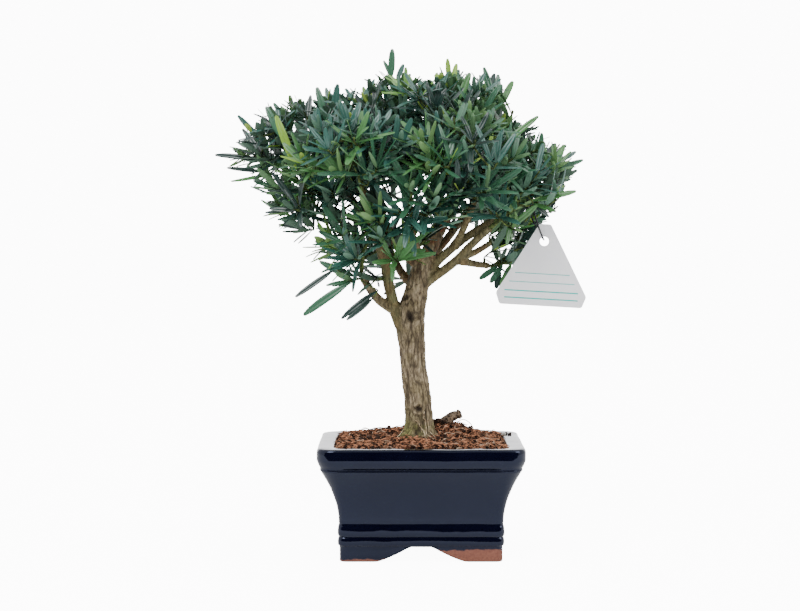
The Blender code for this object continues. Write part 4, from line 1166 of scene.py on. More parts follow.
# dark and light of each look of the wood
BARK_TONES = {
    "old": ("#4e3f2d", "#b09f82"),
    "lichened": ("#4b4a2a", "#86855a"),
    "young": ("#3b4327", "#707344"),
    "flaked": ("#5a3120", "#a06a48"),
    "mossy": ("#4c4b29", "#8f8d56"),
    # painted shade for the fissures of old wood
    "hollow": ("#2e2318", "#2e2318"),
    # the marks' own dark colour, with painted shade in their pits
    "scar": ("#20160e", "#20160e"),
}


def make_bark():
    material, tree, shader = new_material("dry fissured bark", Roughness=0.82, Specular_IOR_Level=0.3)
    place = add_node(tree, "ShaderNodeTexCoord")
    along = add_node(
        tree, "ShaderNodeMapping", {"Scale": (1.0, 1.0, GRAIN_STRETCH)}, {"Vector": (place, "Object")}
    )
    values = {"Scale": 1 / (BARK_GRAIN * MM), "Detail": 8, "Roughness": 0.66}
    grain = add_node(tree, "ShaderNodeTexNoise", values, {"Vector": (along, 0)})
    values = {"Scale": 1 / (BARK_PATCH * MM), "Detail": 5}
    patches = add_node(tree, "ShaderNodeTexNoise", values, {"Vector": (place, "Object")})
    spread = add_node(
        tree, "ShaderNodeMapRange", {"From Min": 0.32, "From Max": 0.68}, {"Value": (grain, "Fac")}
    )
    patch = add_node(
        tree, "ShaderNodeMapRange", {"From Min": 0.42, "From Max": 0.6}, {"Value": (patches, "Fac")}
    )
    tones = {}
    for name, (dark, light) in BARK_TONES.items():
        values = {6: linear(dark), 7: linear(light)}
        tones[name] = add_node(tree, "ShaderNodeMix", values, {0: (spread, 0)}, data_type="RGBA")
    thin = add_node(tree, "ShaderNodeMath", {1: 0.35}, {0: (patch, 0)}, operation="MULTIPLY")
    links = {0: (thin, 0), 6: (tones["old"], 2), 7: (tones["lichened"], 2)}
    grey = add_node(tree, "ShaderNodeMix", None, links, data_type="RGBA")
    # each layer covers the ones before it, where the value stored on the skin says so
    look = tones["young"]
    layers = (
        ("age", 1.0, grey), ("red", 1.0, tones["flaked"]), ("moss", 1.0, tones["mossy"]),
        # the fissures are darkened as painted shade, and the marks' pits partly so
        ("hollow", 0.8, tones["hollow"]), ("scar", 1.0, tones["scar"]),
    )
    for name, strength, over in layers:
        stored = add_node(tree, "ShaderNodeAttribute", attribute_name=name)
        cover = add_node(tree, "ShaderNodeMath", {1: strength}, {0: (stored, "Fac")}, operation="MULTIPLY")
        if name == "red":
            tree.links.new(patch.outputs[0], cover.inputs[1])
        links = {0: (cover, 0), 6: (look, 2), 7: (over, 2)}
        look = add_node(tree, "ShaderNodeMix", None, links, data_type="RGBA")
    tree.links.new(look.outputs[2], shader.inputs["Base Color"])
    bump = add_node(
        tree, "ShaderNodeBump", {"Strength": 0.9, "Distance": 0.5 * MM}, {"Height": (grain, "Fac")}
    )
    tree.links.new(bump.outputs["Normal"], shader.inputs["Normal"])
    return material


wood_mesh.materials.clear()
wood_mesh.materials.append(make_bark())
wood_mesh.name = "bark_limbs"
wood = put_in_scene("bark_limbs", wood_mesh)
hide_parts("trunk", "leader", *BOUGHS)
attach(wood, "root")
print("bark_limbs:", triangles(wood), "triangles")

# %% [markdown]
# Fine pale roots trail off the trunk's foot over the mix, and one grey fibre stands up beside the
# bark slab in a bow. The roots are given only roughly. Each point of a root is moved to the
# nearest place on the bark or on the mix, so that the root lies on them wherever it runs.

# %% Fine roots
FINE_ROOTS = (
    # a thin root's radius and the places near which it runs
    (0.3, (
        (2.0, -9.6, 106.5), (3.6, -11.6, 102.5), (6.4, -14.0, 97.0), (9.6, -18.0, 90.6), (11.0, -22.0, 88.0),
    )),
    (0.25, ((5.0, -9.5, 101.0), (9.0, -12.5, 96.6), (14.5, -15.0, 91.6), (19.0, -19.0, 89.0))),
    (0.25, ((-4.0, -10.8, 100.0), (0.0, -13.0, 95.6), (4.0, -16.0, 91.0), (6.0, -20.0, 87.8))),
    (0.3, ((-14.0, -6.0, 93.0), (-19.0, -9.0, 90.0), (-24.0, -12.0, 88.0), (-27.0, -15.0, 87.2))),
)
STANDING_FIBRE = (
    (27.0, 22.0, 93.6), (31.0, 22.0, 96.6), (35.0, 21.6, 96.2), (39.0, 21.0, 92.6), (41.0, 21.0, 88.0),
)
STANDING_RADIUS = 0.4


def surface_of(mesh):
    corners = [vertex.co for vertex in mesh.vertices]
    return BVHTree.FromPolygons(corners, [polygon.vertices for polygon in mesh.polygons])


def settled(point, radius):
    """The place nearest to a point on the bark or on the mix, half sunk."""
    spot = Vector(point) * MM + PLACE
    hits = [surface.find_nearest(spot) for surface in (bark_surface, mix_surface)]
    touch, normal, _, _ = min(hits, key=lambda hit: hit[3])
    return (*((touch - PLACE) / MM + normal * radius * 0.5), radius)


bark_surface = surface_of(wood_mesh)
mix_surface = surface_of(bed.data)
roots = []
for radius, route in FINE_ROOTS:
    line = smooth_line(route, 6)
    roots.append(tube(smooth_line([settled(point, radius) for point in line], 2), 6))
roots.append(tube(smooth_line([(*point, STANDING_RADIUS) for point in STANDING_FIBRE], 5), 6))
root_finish = make_mix_finish("dry pale root", "#9a8468", "#d8c6a6", 2.0)
joined_piece("fine_roots", roots, root_finish)

# %% [markdown]
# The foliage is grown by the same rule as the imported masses, carried further. The crown is made of
# fourteen masses, each fed by one bough, with a few small tufts low on the boughs. Each is noted as
# an egg-shaped room: the bough that feeds it, its middle and its half sizes, in millimetres.

# %% Masses of foliage
MASSES = {
    "foliage_top": ("trunk", (16, 0, 325), (48, 46, 32)),
    "foliage_top_left": ("bough_centre_left", (-36, 8, 316), (42, 42, 34)),
    "foliage_top_right": ("bough_top_right", (62, 6, 302), (37, 42, 34)),
    "foliage_left": ("bough_left", (-97, 0, 302), (41, 38, 31)),
    "foliage_right": ("bough_right_upper", (95, 4, 280), (27, 38, 36)),
    "foliage_middle_left": ("bough_left_upright", (-75, -8, 263), (36, 34, 30)),
    "foliage_low_left": ("bough_left_low", (-42, -30, 228), (32, 28, 26)),
    "foliage_front": ("bough_front", (-7, -50, 262), (35, 30, 30)),
    "foliage_front_left": ("bough_front_left", (-50, -64, 296), (40, 34, 30)),
    "foliage_front_right": ("bough_front_right", (27, -66, 292), (40, 34, 32)),
    "foliage_right_middle": ("bough_right_lower", (70, -34, 260), (34, 30, 26)),
    "foliage_low_right": ("bough_right_low", (75, 8, 226), (27, 25, 25)),
    "foliage_back_left": ("bough_back_left", (-36, 64, 292), (46, 40, 36)),
    "foliage_back_right": ("bough_back_right", (54, 62, 286), (44, 40, 36)),
}
TUFTS = {
    "tuft_left": ("bough_left_upright", (-33, -6, 222), (27, 20, 21)),
    "tuft_left_back": ("bough_back_left", (-22, 30, 222), (22, 16, 18)),
    "tuft_front": ("bough_front", (2, -24, 238), (16, 14, 16)),
    "tuft_right_end": ("bough_right_middle", (58, 0, 238), (13, 12, 12)),
    "tuft_by_tag": ("bough_right_low", (62, 2, 222), (18, 18, 20)),
    "tuft_fork": ("bough_back_left", (-15, 16, 205), (13, 12, 14)),
    "tuft_back_right": ("bough_back_right", (28, 34, 244), (20, 16, 14)),
}
CLUMPS = {**MASSES, **TUFTS}
print("foliage:", len(MASSES), "masses and", len(TUFTS), "tufts")

# %% [markdown]
# The photo settles the crown's outline, the gaps where the sky shows through and the single leaves
# that stand out against the white. All three are noted as pixels that were read off the photo,
# and the camera above turns them into places. The farthest leaves at the front and the back can't
# be seen, so they are noted as places.

# %% The crown in the photo
# the crown's outline, from the far left over the top
CROWN_OUTLINE = (
    (232, 150), (244, 127), (264, 112), (286, 97), (315, 92), (345, 92), (365, 86), (380, 66),
    (400, 62), (418, 80), (436, 72), (460, 68), (478, 78), (492, 76), (506, 84), (502, 110),
    (516, 122), (532, 126), (545, 140), (563, 149), (571, 160), (573, 172), (566, 186), (556, 196),
    (550, 214), (543, 228), (520, 262), (500, 287), (482, 282), (470, 262), (440, 270), (425, 264),
    (412, 278), (404, 302), (370, 304), (345, 296), (322, 276), (300, 262), (290, 240), (272, 220),
    (262, 200), (248, 184), (234, 168),
)
# the gaps of sky in the crown: across, down, radius
SKY_GAPS = (
    (384, 182, 3), (385, 195, 5), (397, 185, 4.5), (400, 194, 5), (391, 204, 3), (376, 205, 3), (430, 209, 4),
    (332, 180, 5), (470, 230, 8), (484, 246, 10), (462, 254, 8), (448, 262, 6), (398, 268, 5),
)
# the leaves that make the outline: pixels of foot and tip, how far behind the pot's middle each of
# the two is, width, shade
OUTLINE_LEAVES = (
    ((391, 80), (392, 48), (-6, -6), 5.2, "dark"),
    ((394, 84), (386, 60), (-4, -8), 3.6, "dark"),
    ((396, 82), (404, 62), (-2, 2), 3.8, "blue"),
    ((400, 88), (411, 74), (0, 4), 3.8, "blue"),
    ((450, 86), (447, 58), (-10, -10), 4.4, "young"),
    ((451, 86), (457, 62), (-10, -8), 4.0, "young"),
    ((449, 88), (440, 72), (-10, -14), 3.6, "young"),
    ((496, 106), (484, 66), (-12, -12), 5.0, "dark"),
    ((498, 106), (497, 73), (-12, -10), 5.0, "dark"),
    ((500, 108), (512, 78), (-12, -8), 5.2, "mid"),
    ((459, 100), (470, 72), (-30, -30), 5.4, "mid"),
    ((327, 122), (316, 86), (-20, -20), 5.4, "dark"),
    ((332, 122), (338, 83), (-20, -20), 5.4, "blue"),
    ((262, 160), (213, 151), (-10, -6), 4.2, "blackish"),
    ((268, 172), (226, 167), (-14, -16), 3.8, "blackish"),
    ((274, 173), (230, 183), (-20, -24), 4.8, "mid"),
    ((264, 143), (237, 115), (-5, -6), 4.6, "blue"),
    ((282, 140), (266, 105), (-30, -30), 5.0, "dark"),
    ((297, 170), (275, 115), (-62, -58), 6.0, "young"),
    ((548, 172), (584, 159), (-6, -4), 4.6, "dark"),
    ((546, 168), (577, 152), (-6, -6), 4.6, "blue"),
    ((542, 165), (567, 145), (-10, -10), 4.6, "dark"),
    ((540, 168), (542, 132), (-10, -12), 4.8, "dark"),
    ((532, 201), (577, 190), (-40, -42), 6.0, "mid"),
    ((533, 203), (557, 211), (-34, -36), 4.4, "mid"),
    ((533, 203), (550, 217), (-18, -15), 4.0, "blackish"),
    ((500, 147), (538, 114), (-60, -62), 4.6, "mid"),
    ((352, 281), (300, 313), (-37, -38), 6.2, "dark"),
    ((336, 268), (294, 297), (-34, -40), 4.6, "blackish"),
    ((378, 290), (340, 315), (-30, -38), 4.8, "blackish"),
    ((374, 297), (346, 321), (-30, -37), 4.2, "blackish"),
    ((322, 190), (266, 192), (-20, -20), 4.0, "blackish"),
    ((320, 213), (276, 217), (-20, -20), 4.4, "dark"),
    ((498, 266), (479, 279), (-4, -8), 4.6, "dark"),
    ((503, 264), (490, 283), (-6, -10), 4.6, "dark"),
    ((500, 268), (496, 289), (-2, -4), 4.8, "blackish"),
    ((512, 262), (499, 287), (-8, -12), 4.4, "mid"),
)
# the leaves that reach furthest to the back and the front, in millimetres: foot, tip, width, shade
OUTERMOST_LEAVES = (
    ((-62, 86, 300), (-66, 106, 305), 5.0, "dark"),
    ((62, 84, 296), (68, 105, 300), 5.0, "dark"),
    ((-58, -82, 300), (-62, -103, 304), 5.0, "mid"),
    ((32, -80, 298), (34, -103, 302), 5.0, "dark"),
)
print("outline of", len(CROWN_OUTLINE), "points,", len(SKY_GAPS), "gaps of sky")

# %% [markdown]
# A leaf has to stay in the crown and inside the outline, clear of the sky gaps, the limbs and the
# tag, and it may not hide the tag from the camera. Each of these is a small test of one place.

# %% Where leaves may be
UP = Vector((0, 0, 1))
CROWN_OVERSHOOT = 1.32
BOX_MARGIN = 0.2
TAG_TOP = Vector((90.8, -24.0, 245.5))
TAG_TURN = math.radians(3.3)
TAG_OUTLINE = ((4.2, 0.0), (33.2, 51.8), (30.2, 60.0), (-30.2, 60.0), (-33.2, 51.8), (-4.2, 0.0))
TAG_MIDDLE = Vector((92.5, -24.0, 212.0))
TAG_HALF_SIZE = Vector((33, 3.5, 33))
TAG_CLEARANCE = 1.0
WIRE_TOP = Vector((81.0, -17.0, 264.9))
WIRE_END = Vector((88.4, -26.6, 236.5))
WIRE_CLEARANCE = 2.6

segments = []
for line in limb_lines.values():
    segments += [(*start, *end) for start, end in zip(line[:-1], line[1:])]
limb_segments = np.array(segments)
limb_runs = limb_segments[:, 4:7] - limb_segments[:, :3]
limb_run_lengths = (limb_runs**2).sum(axis=1)
mass_middles = np.array([middle for _, middle, _ in CLUMPS.values()], dtype=float)
mass_sizes = np.array([sizes for _, _, sizes in CLUMPS.values()], dtype=float)
outline_points = np.array(CROWN_OUTLINE, dtype=float)
sky_gaps = np.array(SKY_GAPS)
box_low = (np.array(cad_box[0]) - np.array(PLACE)) / MM + BOX_MARGIN
box_high = (np.array(cad_box[1]) - np.array(PLACE)) / MM - BOX_MARGIN


def in_crown(point):
    """Whether a place is in a mass or a tuft, or a little outside it."""
    place = np.array(point)
    if (place < box_low).any() or (place > box_high).any():
        return False
    shares = (((place - mass_middles) / mass_sizes) ** 2).sum(axis=1)
    return bool((shares < CROWN_OVERSHOOT**2).any())


def in_outline(point):
    """Whether the camera sees a place inside the crown's outline."""
    x, y = seen_at(point)
    ends = np.roll(outline_points, -1, axis=0)
    spans = (outline_points[:, 1] > y) != (ends[:, 1] > y)
    drop = np.where(spans, ends[:, 1] - outline_points[:, 1], 1.0)
    crossing = outline_points[:, 0] + (y - outline_points[:, 1]) / drop * (ends[:, 0] - outline_points[:, 0])
    return bool((spans & (crossing > x)).sum() % 2)


def in_sky_gap(point):
    x, y = seen_at(point)
    return bool((np.hypot(sky_gaps[:, 0] - x, sky_gaps[:, 1] - y) < sky_gaps[:, 2]).any())


def limb_gap(point):
    """How far a place is from the nearest limb's skin."""
    offset = np.array(point) - limb_segments[:, :3]
    along = np.clip((offset * limb_runs).sum(axis=1) / limb_run_lengths, 0, 1)
    away = np.linalg.norm(offset - along[:, None] * limb_runs, axis=1)
    return float((away - limb_segments[:, 3]).min())


def near_tag(point):
    away = point - TAG_MIDDLE
    return all(abs(away[axis]) < TAG_HALF_SIZE[axis] for axis in range(3))


def hides_tag(point):
    """Whether a place stands between the camera and the tag or its wire."""
    shown = EYE + (point - EYE) * ((TAG_TOP.y - EYE.y) / (point.y - EYE.y)) - TAG_TOP
    across = shown.x * math.cos(TAG_TURN) - shown.z * math.sin(TAG_TURN)
    drop = -shown.x * math.sin(TAG_TURN) - shown.z * math.cos(TAG_TURN)
    (top_half, _), (low_half, low_drop), (_, end_drop) = TAG_OUTLINE[:3]
    half = top_half + (low_half - top_half) * min(max(drop / low_drop, 0.0), 1.0) + TAG_CLEARANCE
    if point.y < TAG_TOP.y and -TAG_CLEARANCE < drop < end_drop + TAG_CLEARANCE and abs(across) < half:
        return True
    wire = WIRE_END - WIRE_TOP
    along = (WIRE_TOP.z - shown.z - TAG_TOP.z) / -wire.z
    if point.y > WIRE_TOP.y or not 0 < along < 1:
        return False
    return abs(shown.x + TAG_TOP.x - WIRE_TOP.x - wire.x * along) < WIRE_CLEARANCE


# %% [markdown]
# Each shoot carries its leaves in a spiral, 137.5 degrees apart, wide open below and nearly shut at
# the tip. A leaf is shortened or left out where it would leave the crown, cross a limb or hide the
# tag. It may pass the outline a little or must stop short of it, so that the edge stays ragged.
# Growing gives only places, directions and sizes, and the leaves themselves are set later.

# %% Leaves and twigs
SHADES = ("blackish", "blue", "dark", "mid", "fresh", "young")
SHADE_SHARES = (0.26, 0.30, 0.25, 0.15, 0.04, 0.0)
GOLDEN_ANGLE = math.radians(137.5)
LEAFY_LENGTH = 18.0
LEAF_LENGTH = (22.0, 34.0)
LEAF_WIDTH = (4.0, 5.2)
LEAF_OPENING = (74, 22)
LEAF_KINDS = 6
SHORTEST_LEAF = 16.0
SHORTENING = 0.88
NARROWING = 0.96
EDGE_SLACK = (-7.0, 6.0)
LIMB_CLEARANCE = 0.8
FACING_SLACK = 0.25
VIGOUR = (0.86, 1.1)
BRIGHT_SHARE = 0.24
TIP_START = 0.78
YOUNG_START = 0.88
leaves = []
twigs = []


def note_leaf(rng, base, tip, axis, width, shade):
    """Notes a leaf from base to tip, its face turned to the end of its shoot and to the light."""
    heading = (tip - base).normalized()
    facing = axis * 0.8 + UP * 0.5 + Vector([rng.uniform(-FACING_SLACK, FACING_SLACK) for _ in range(3)])
    facing = facing - heading * facing.dot(heading)
    if facing.length < 0.05:
        facing = heading.orthogonal()
    facing.normalize()
    sideways = facing.cross(heading)
    turn = Matrix((heading, sideways, facing)).transposed().to_euler()
    leaves.append((tuple(base), tuple(turn), (tip - base).length, width, rng.randrange(LEAF_KINDS), shade))


def add_leaf(rng, base, heading, axis, length, width, shade):
    """Notes a leaf, shortened to stay in the crown, unless it would meet a limb, the tag or a gap."""
    slack = rng.uniform(*EDGE_SLACK)
    while not (in_crown(base + heading * length) and in_outline(base + heading * (length + slack))):
        length *= SHORTENING
        width *= NARROWING
        if length < SHORTEST_LEAF:
            return
    tip = base + heading * length
    if near_tag(tip) or near_tag(base.lerp(tip, 0.5)):
        return
    if any(hides_tag(base.lerp(tip, share)) for share in (0.0, 0.25, 0.5, 0.75, 1.0)):
        return
    if any(in_sky_gap(base.lerp(tip, share)) for share in (0.5, 0.75, 1.0)):
        return
    if any(limb_gap(base.lerp(tip, share)) < LIMB_CLEARANCE for share in (0.35, 0.7, 1.0)):
        return
    note_leaf(rng, base, tip, axis, width, shade)


def add_twig(start, end, start_radius, end_radius, lift=0.08):
    """Notes a twig that sags a little and turns up to its end. Returns its points."""
    run = (end - start).length
    points = []
    for step in range(6):
        share = step / 5
        bow = UP * run * lift * 4 * share * (share - 1)
        radius = start_radius + (end_radius - start_radius) * share
        points.append((start.lerp(end, share) + bow, radius))
    twigs.append(points)
    return points


def back_along(places, back):
    """The place at a distance back from a twig's end."""
    for outer, inner in zip(places[:0:-1], places[-2::-1]):
        step = (outer - inner).length
        if step >= back:
            return outer.lerp(inner, back / step)
        back -= step
    return places[0]


def grow_leaves(rng, points, axis, number, shade):
    """Leaves in a spiral over the outer part of a twig, shorter and brighter at its tip."""
    places = [point for point, _ in points]
    run = (places[-1] - places[-2]).normalized()
    axis = (axis + run * 0.3).normalized()
    side = axis.orthogonal().normalized()
    other = axis.cross(side)
    turn = rng.uniform(0, math.tau)
    reach = min(LEAFY_LENGTH, (places[-1] - places[0]).length * 0.9)
    wide, narrow = LEAF_OPENING
    vigour = rng.uniform(*VIGOUR)
    bright = rng.random() < BRIGHT_SHARE
    for index in range(number):
        share = index / (number - 1)
        base = back_along(places, reach * (1 - share) ** 1.2)
        opening = math.radians(wide + (narrow - wide) * share**0.8 + rng.uniform(-9, 9))
        around = turn + index * GOLDEN_ANGLE + rng.uniform(-0.25, 0.25)
        sideways = side * math.cos(around) + other * math.sin(around)
        heading = axis * math.cos(opening) + sideways * math.sin(opening)
        heading = (heading + UP * 0.1).normalized()
        length = rng.uniform(*LEAF_LENGTH) * vigour
        width = rng.uniform(*LEAF_WIDTH)
        kind = shade
        if share > TIP_START:
            length *= 1.1 - 0.6 * (share - TIP_START) / 0.22
            width *= 0.85
            if bright and share > YOUNG_START:
                kind = "young"
                length *= 0.75
        add_leaf(rng, base, heading, axis, length, width, kind)


# %% [markdown]
# A stem runs from a bough's tip into its mass. Shoots leave it for places spread through the mass,
# none nearer to another than a shoot's own width, and each bends outwards from the fork of the tree
# and up to the light. A shoot that keeps hardly any leaves is left out. The leaves of the outline
# come last, each on a fine twig from the nearest twig's end.

# %% Growing the crown
CROWN_SEED = 12
FORK = Vector((2.0, 0.0, 216.0))
SHOOT_SPACING = 16.5
SHOOT_TRIES = 420
SHOOT_REACH = 0.88
SHOOT_CLEARANCE = 3.0
SHORTEST_TWIG = 5
LEAVES_PER_SHOOT = (13, 18)
FEWEST_LEAVES = 4


def shoot_places(rng):
    """Places for the shoots' tips, spread through every mass, with the mass that each belongs to."""
    found = []
    tips = np.zeros((0, 3))
    names = list(CLUMPS)
    for _ in range(SHOOT_TRIES):
        for name in names:
            _, middle, sizes = CLUMPS[name]
            direction = Vector([rng.gauss(0, 1) for _ in range(3)]).normalized()
            reach = SHOOT_REACH * rng.random() ** 0.4
            place = Vector([middle[axis] + direction[axis] * sizes[axis] * reach for axis in range(3)])
            spot = np.array(place)
            if len(tips) and (np.linalg.norm(tips - spot, axis=1) < SHOOT_SPACING).any():
                continue
            nearest = ((((spot - mass_middles) / mass_sizes) ** 2).sum(axis=1)).argmin()
            if names[nearest] != name or limb_gap(place) < SHOOT_CLEARANCE or near_tag(place):
                continue
            if not in_outline(place) or in_sky_gap(place) or not in_crown(place):
                continue
            tips = np.vstack([tips, spot])
            found.append((name, place))
    return found


def stem_knots(name):
    """The stem that carries a bough on into its mass, and the knots that shoots may leave from."""
    bough, middle, _ = MASSES[name]
    line = limb_lines[bough]
    tip = Vector(line[-1][:3])
    heading = (tip - Vector(line[-2][:3])).normalized()
    bend = tip + heading * 3
    stem_end = bend.lerp(Vector(middle), 0.9)
    radius = line[-1][3]
    stem = [(tip - heading * 2, radius), (bend, radius * 0.92)]
    for step in range(1, 11):
        share = step / 10
        stem.append((bend.lerp(stem_end, share), radius * 0.92 + (1.1 - radius * 0.92) * share))
    twigs.append(stem)
    return stem[2:]


def grow_crown(rng):
    """Grows the shoots of every mass and tuft, from the inside outwards, and counts them."""
    knots = {name: stem_knots(name) for name in MASSES}
    for name, (bough, _, _) in TUFTS.items():
        knots[name] = [(Vector(point[:3]), point[3]) for point in limb_lines[bough]]
    places = shoot_places(rng)
    grown = 0
    places.sort(key=lambda item: (item[1] - Vector(CLUMPS[item[0]][1])).length)
    for name, place in places:
        middle = Vector(CLUMPS[name][1])
        outward = (place - FORK).normalized() * 0.62 + (place - middle) / 60 + UP * 0.3
        outward += Vector([rng.uniform(-0.3, 0.3) for _ in range(3)])
        outward.normalize()
        start, radius = min(knots[name], key=lambda knot: (knot[0] - place).length + 2.5 / knot[1])
        if (place - start).length < SHORTEST_TWIG:
            place = start + outward * 6
        first_leaf, first_twig = len(leaves), len(twigs)
        points = add_twig(start, place, min(radius, 1.2), 0.75)
        beyond = place + outward * rng.uniform(5, 9)
        tip = [(place, 0.75), (place.lerp(beyond, 0.5), 0.7), (beyond, 0.6)]
        twigs.append(tip)
        number = rng.randint(*LEAVES_PER_SHOOT)
        shade = rng.choices(SHADES, weights=SHADE_SHARES)[0]
        grow_leaves(rng, points[2:] + tip[1:], outward, number, shade)
        if len(leaves) - first_leaf < FEWEST_LEAVES or hides_tag(place) or hides_tag(beyond):
            del leaves[first_leaf:]
            del twigs[first_twig:]
            continue
        knots[name] += [points[2], points[3], points[4]]
        grown += 1
    return grown


rng = random.Random(CROWN_SEED)
shoots = grow_crown(rng)
placed_leaves = []
for foot, tip, behind, width, shade in OUTLINE_LEAVES:
    placed_leaves.append((from_photo(foot, behind[0]), from_photo(tip, behind[1]), width, shade))
for foot, tip, width, shade in OUTERMOST_LEAVES:
    placed_leaves.append((Vector(foot), Vector(tip), width, shade))
for base, tip, width, shade in placed_leaves:
    owner = min(twigs, key=lambda twig: (twig[-1][0] - base).length)
    if (owner[-1][0] - base).length > 1.5:
        add_twig(owner[-1][0], base, 0.6, 0.5, 0.03)
    note_leaf(rng, base, tip, Vector((0.0, -1.0, 0.1)), width, shade)
print("foliage:", shoots, "shoots,", len(leaves), "leaves,", len(twigs), "twigs")

# %% [markdown]
# A podocarpus leaf is a stiff strap, four or five millimetres wide, with a shallow gutter along
# the midrib and a blunt point. It is a thin closed solid of a few dozen faces, four strips above
# and two below, in six ways of bending. The midrib and the two margins are sharp creases, which
# gives a leaf its two tones. The strips below carry an attribute, so that the tree of nodes can
# give them the paler finish of a leaf's underside.

# %% Leaf shapes
LEAF_ROWS = 8
# across the leaf and up: the margin, the gutter, the midrib, and back, then the keel below
LEAF_SECTION = ((-1, -0.01), (-0.5, 0.007), (0, -0.009), (0.5, 0.007), (1, -0.01), (0, -0.021))
CREASES = (0, 2, 4)
# how far each shape droops and twists
BENDS = ((0.02, 0.0), (0.09, 0.1), (0.16, -0.15), (-0.05, 0.2), (0.24, 0.1), (0.05, -0.3))


def leaf_shape(name, droop, twist, collection):
    """A leaf one metre long and one metre wide along X, to be scaled."""
    points = []
    for row in range(LEAF_ROWS):
        share = 0.02 + 0.94 * row / (LEAF_ROWS - 1)
        swell = min(1.0, (share / 0.34) ** 0.75)
        point = math.sqrt(max(1 - (max(share - 0.52, 0) / 0.485) ** 2.4, 0))
        half = max(0.5 * swell * point, 0.07)
        rise = -droop * share * share
        for across, lift in LEAF_SECTION:
            y = across * half
            points.append((share, y, rise + lift + twist * share * y * 0.16))
    faces = skin(LEAF_ROWS, 6)
    under = [index % 6 in (4, 5) for index in range(len(faces))]
    points.append((0.985, 0, -droop * 0.97 - 0.004))
    last = (LEAF_ROWS - 1) * 6
    for step in range(6):
        faces.append((last + step, last + (step + 1) % 6, len(points) - 1))
        under.append(step in (4, 5))
    faces.append((5, 4, 3, 2, 1, 0))
    under.append(True)
    mesh = bpy.data.meshes.new(name)
    mesh.from_pydata(points, [], [face[::-1] for face in faces])
    attribute = mesh.attributes.new("underside", "BOOLEAN", "FACE")
    attribute.data.foreach_set("value", under)
    mesh.polygons.foreach_set("use_smooth", [True] * len(faces))
    for edge in mesh.edges:
        first, second = sorted(edge.vertices)
        edge.use_edge_sharp = second - first == 6 and first % 6 in CREASES
    mesh.update()
    collection.objects.link(bpy.data.objects.new(name, mesh))


leaf_shapes = bpy.data.collections.new("leaf_shapes")
for index, (droop, twist) in enumerate(BENDS):
    leaf_shape(f"leaf_shape_{index}", droop, twist, leaf_shapes)

# %% [markdown]
# The leaves are set by a tree of nodes. It takes the leaves' places, and picks, turns and sizes a
# shape for each by what the place carries. Then it makes the copies real and gives the faces above
# and below their own finish. Every shade is one run of the tree, and becomes one piece.

# %% Tree that sets the leaves
def leafing_tree():
    """Sets a leaf shape on each point, turned and sized as the point says."""
    inputs = {
        "Places": "Geometry", "Leaf shapes": "Collection", "Width factor": "Float",
        "Upper finish": "Material", "Underside finish": "Material",
    }
    tree, given = new_tree("set leaves", inputs, "Leaves")
    shapes = add_node(
        tree,
        "GeometryNodeCollectionInfo",
        {"Separate Children": True, "Reset Children": True},
        {"Collection": (given, "Leaf shapes")},
    )
    carried = {}
    for name, kind in {"turn": "FLOAT_VECTOR", "size": "FLOAT_VECTOR", "shape": "INT"}.items():
        carried[name] = add_node(tree, "GeometryNodeInputNamedAttribute", {"Name": name}, data_type=kind)
    factor = add_node(tree, "ShaderNodeCombineXYZ", {"X": 1.0, "Z": 1.0}, {"Y": (given, "Width factor")})
    sides = {0: (carried["size"], "Attribute"), 1: (factor, 0)}
    scale = add_node(tree, "ShaderNodeVectorMath", None, sides, operation="MULTIPLY")
    placed = add_node(
        tree,
        "GeometryNodeInstanceOnPoints",
        {"Pick Instance": True},
        {
            "Points": (given, "Places"),
            "Instance": (shapes, 0),
            "Instance Index": (carried["shape"], "Attribute"),
            "Rotation": (carried["turn"], "Attribute"),
            "Scale": (scale, 0),
        },
    )
    real = add_node(tree, "GeometryNodeRealizeInstances", None, {"Geometry": (placed, 0)})
    upper = add_node(
        tree, "GeometryNodeSetMaterial", None, {"Geometry": (real, 0), "Material": (given, "Upper finish")}
    )
    below = add_node(tree, "GeometryNodeInputNamedAttribute", {"Name": "underside"}, data_type="BOOLEAN")
    lower = add_node(
        tree,
        "GeometryNodeSetMaterial",
        None,
        {"Geometry": (upper, 0), "Selection": (below, "Attribute"), "Material": (given, "Underside finish")},
    )
    add_node(tree, "NodeGroupOutput", None, {"Leaves": (lower, 0)})
    return tree


# %% [markdown]
# Leaves are waxy: a soft clear sheen over deep green, so each finish has a moderate roughness and a
# little coat. Their colours are plain, and the variety comes from dealing out a few shades by
# spray, from old blue-black leaves to the bright tips of new growth.

# %% Leaf finishes and leaves
# the upper side and the underside of each shade
LEAF_COLOURS = {
    "blackish": ("#1f3a34", "#516f5c"),
    "blue": ("#356358", "#5f8670"),
    "dark": ("#3a6a4e", "#648b61"),
    "mid": ("#4f824a", "#759d63"),
    "fresh": ("#6f9f4b", "#88ae64"),
    "young": ("#8ab440", "#a6c55c"),
}
LEAF_GLOSS = {"Roughness": 0.34, "Coat_Weight": 0.5, "Coat_Roughness": 0.24}
UNDERSIDE_ROUGHNESS = 0.6


def place_points(name, chosen):
    """A mesh of one point for each leaf, with its turn, size and shape as attributes."""
    mesh = bpy.data.meshes.new(name)
    places = [tuple(Vector(base) * MM + PLACE) for base, _, _, _, _, _ in chosen]
    mesh.from_pydata(places, [], [])
    turn = mesh.attributes.new("turn", "FLOAT_VECTOR", "POINT")
    turn.data.foreach_set("vector", np.array([leaf[1] for leaf in chosen]).ravel())
    size = mesh.attributes.new("size", "FLOAT_VECTOR", "POINT")
    sizes = [(length * MM, width * MM, length * MM) for _, _, length, width, _, _ in chosen]
    size.data.foreach_set("vector", np.array(sizes).ravel())
    shape = mesh.attributes.new("shape", "INT", "POINT")
    shape.data.foreach_set("value", [leaf[4] for leaf in chosen])
    return put_in_scene(name, mesh)


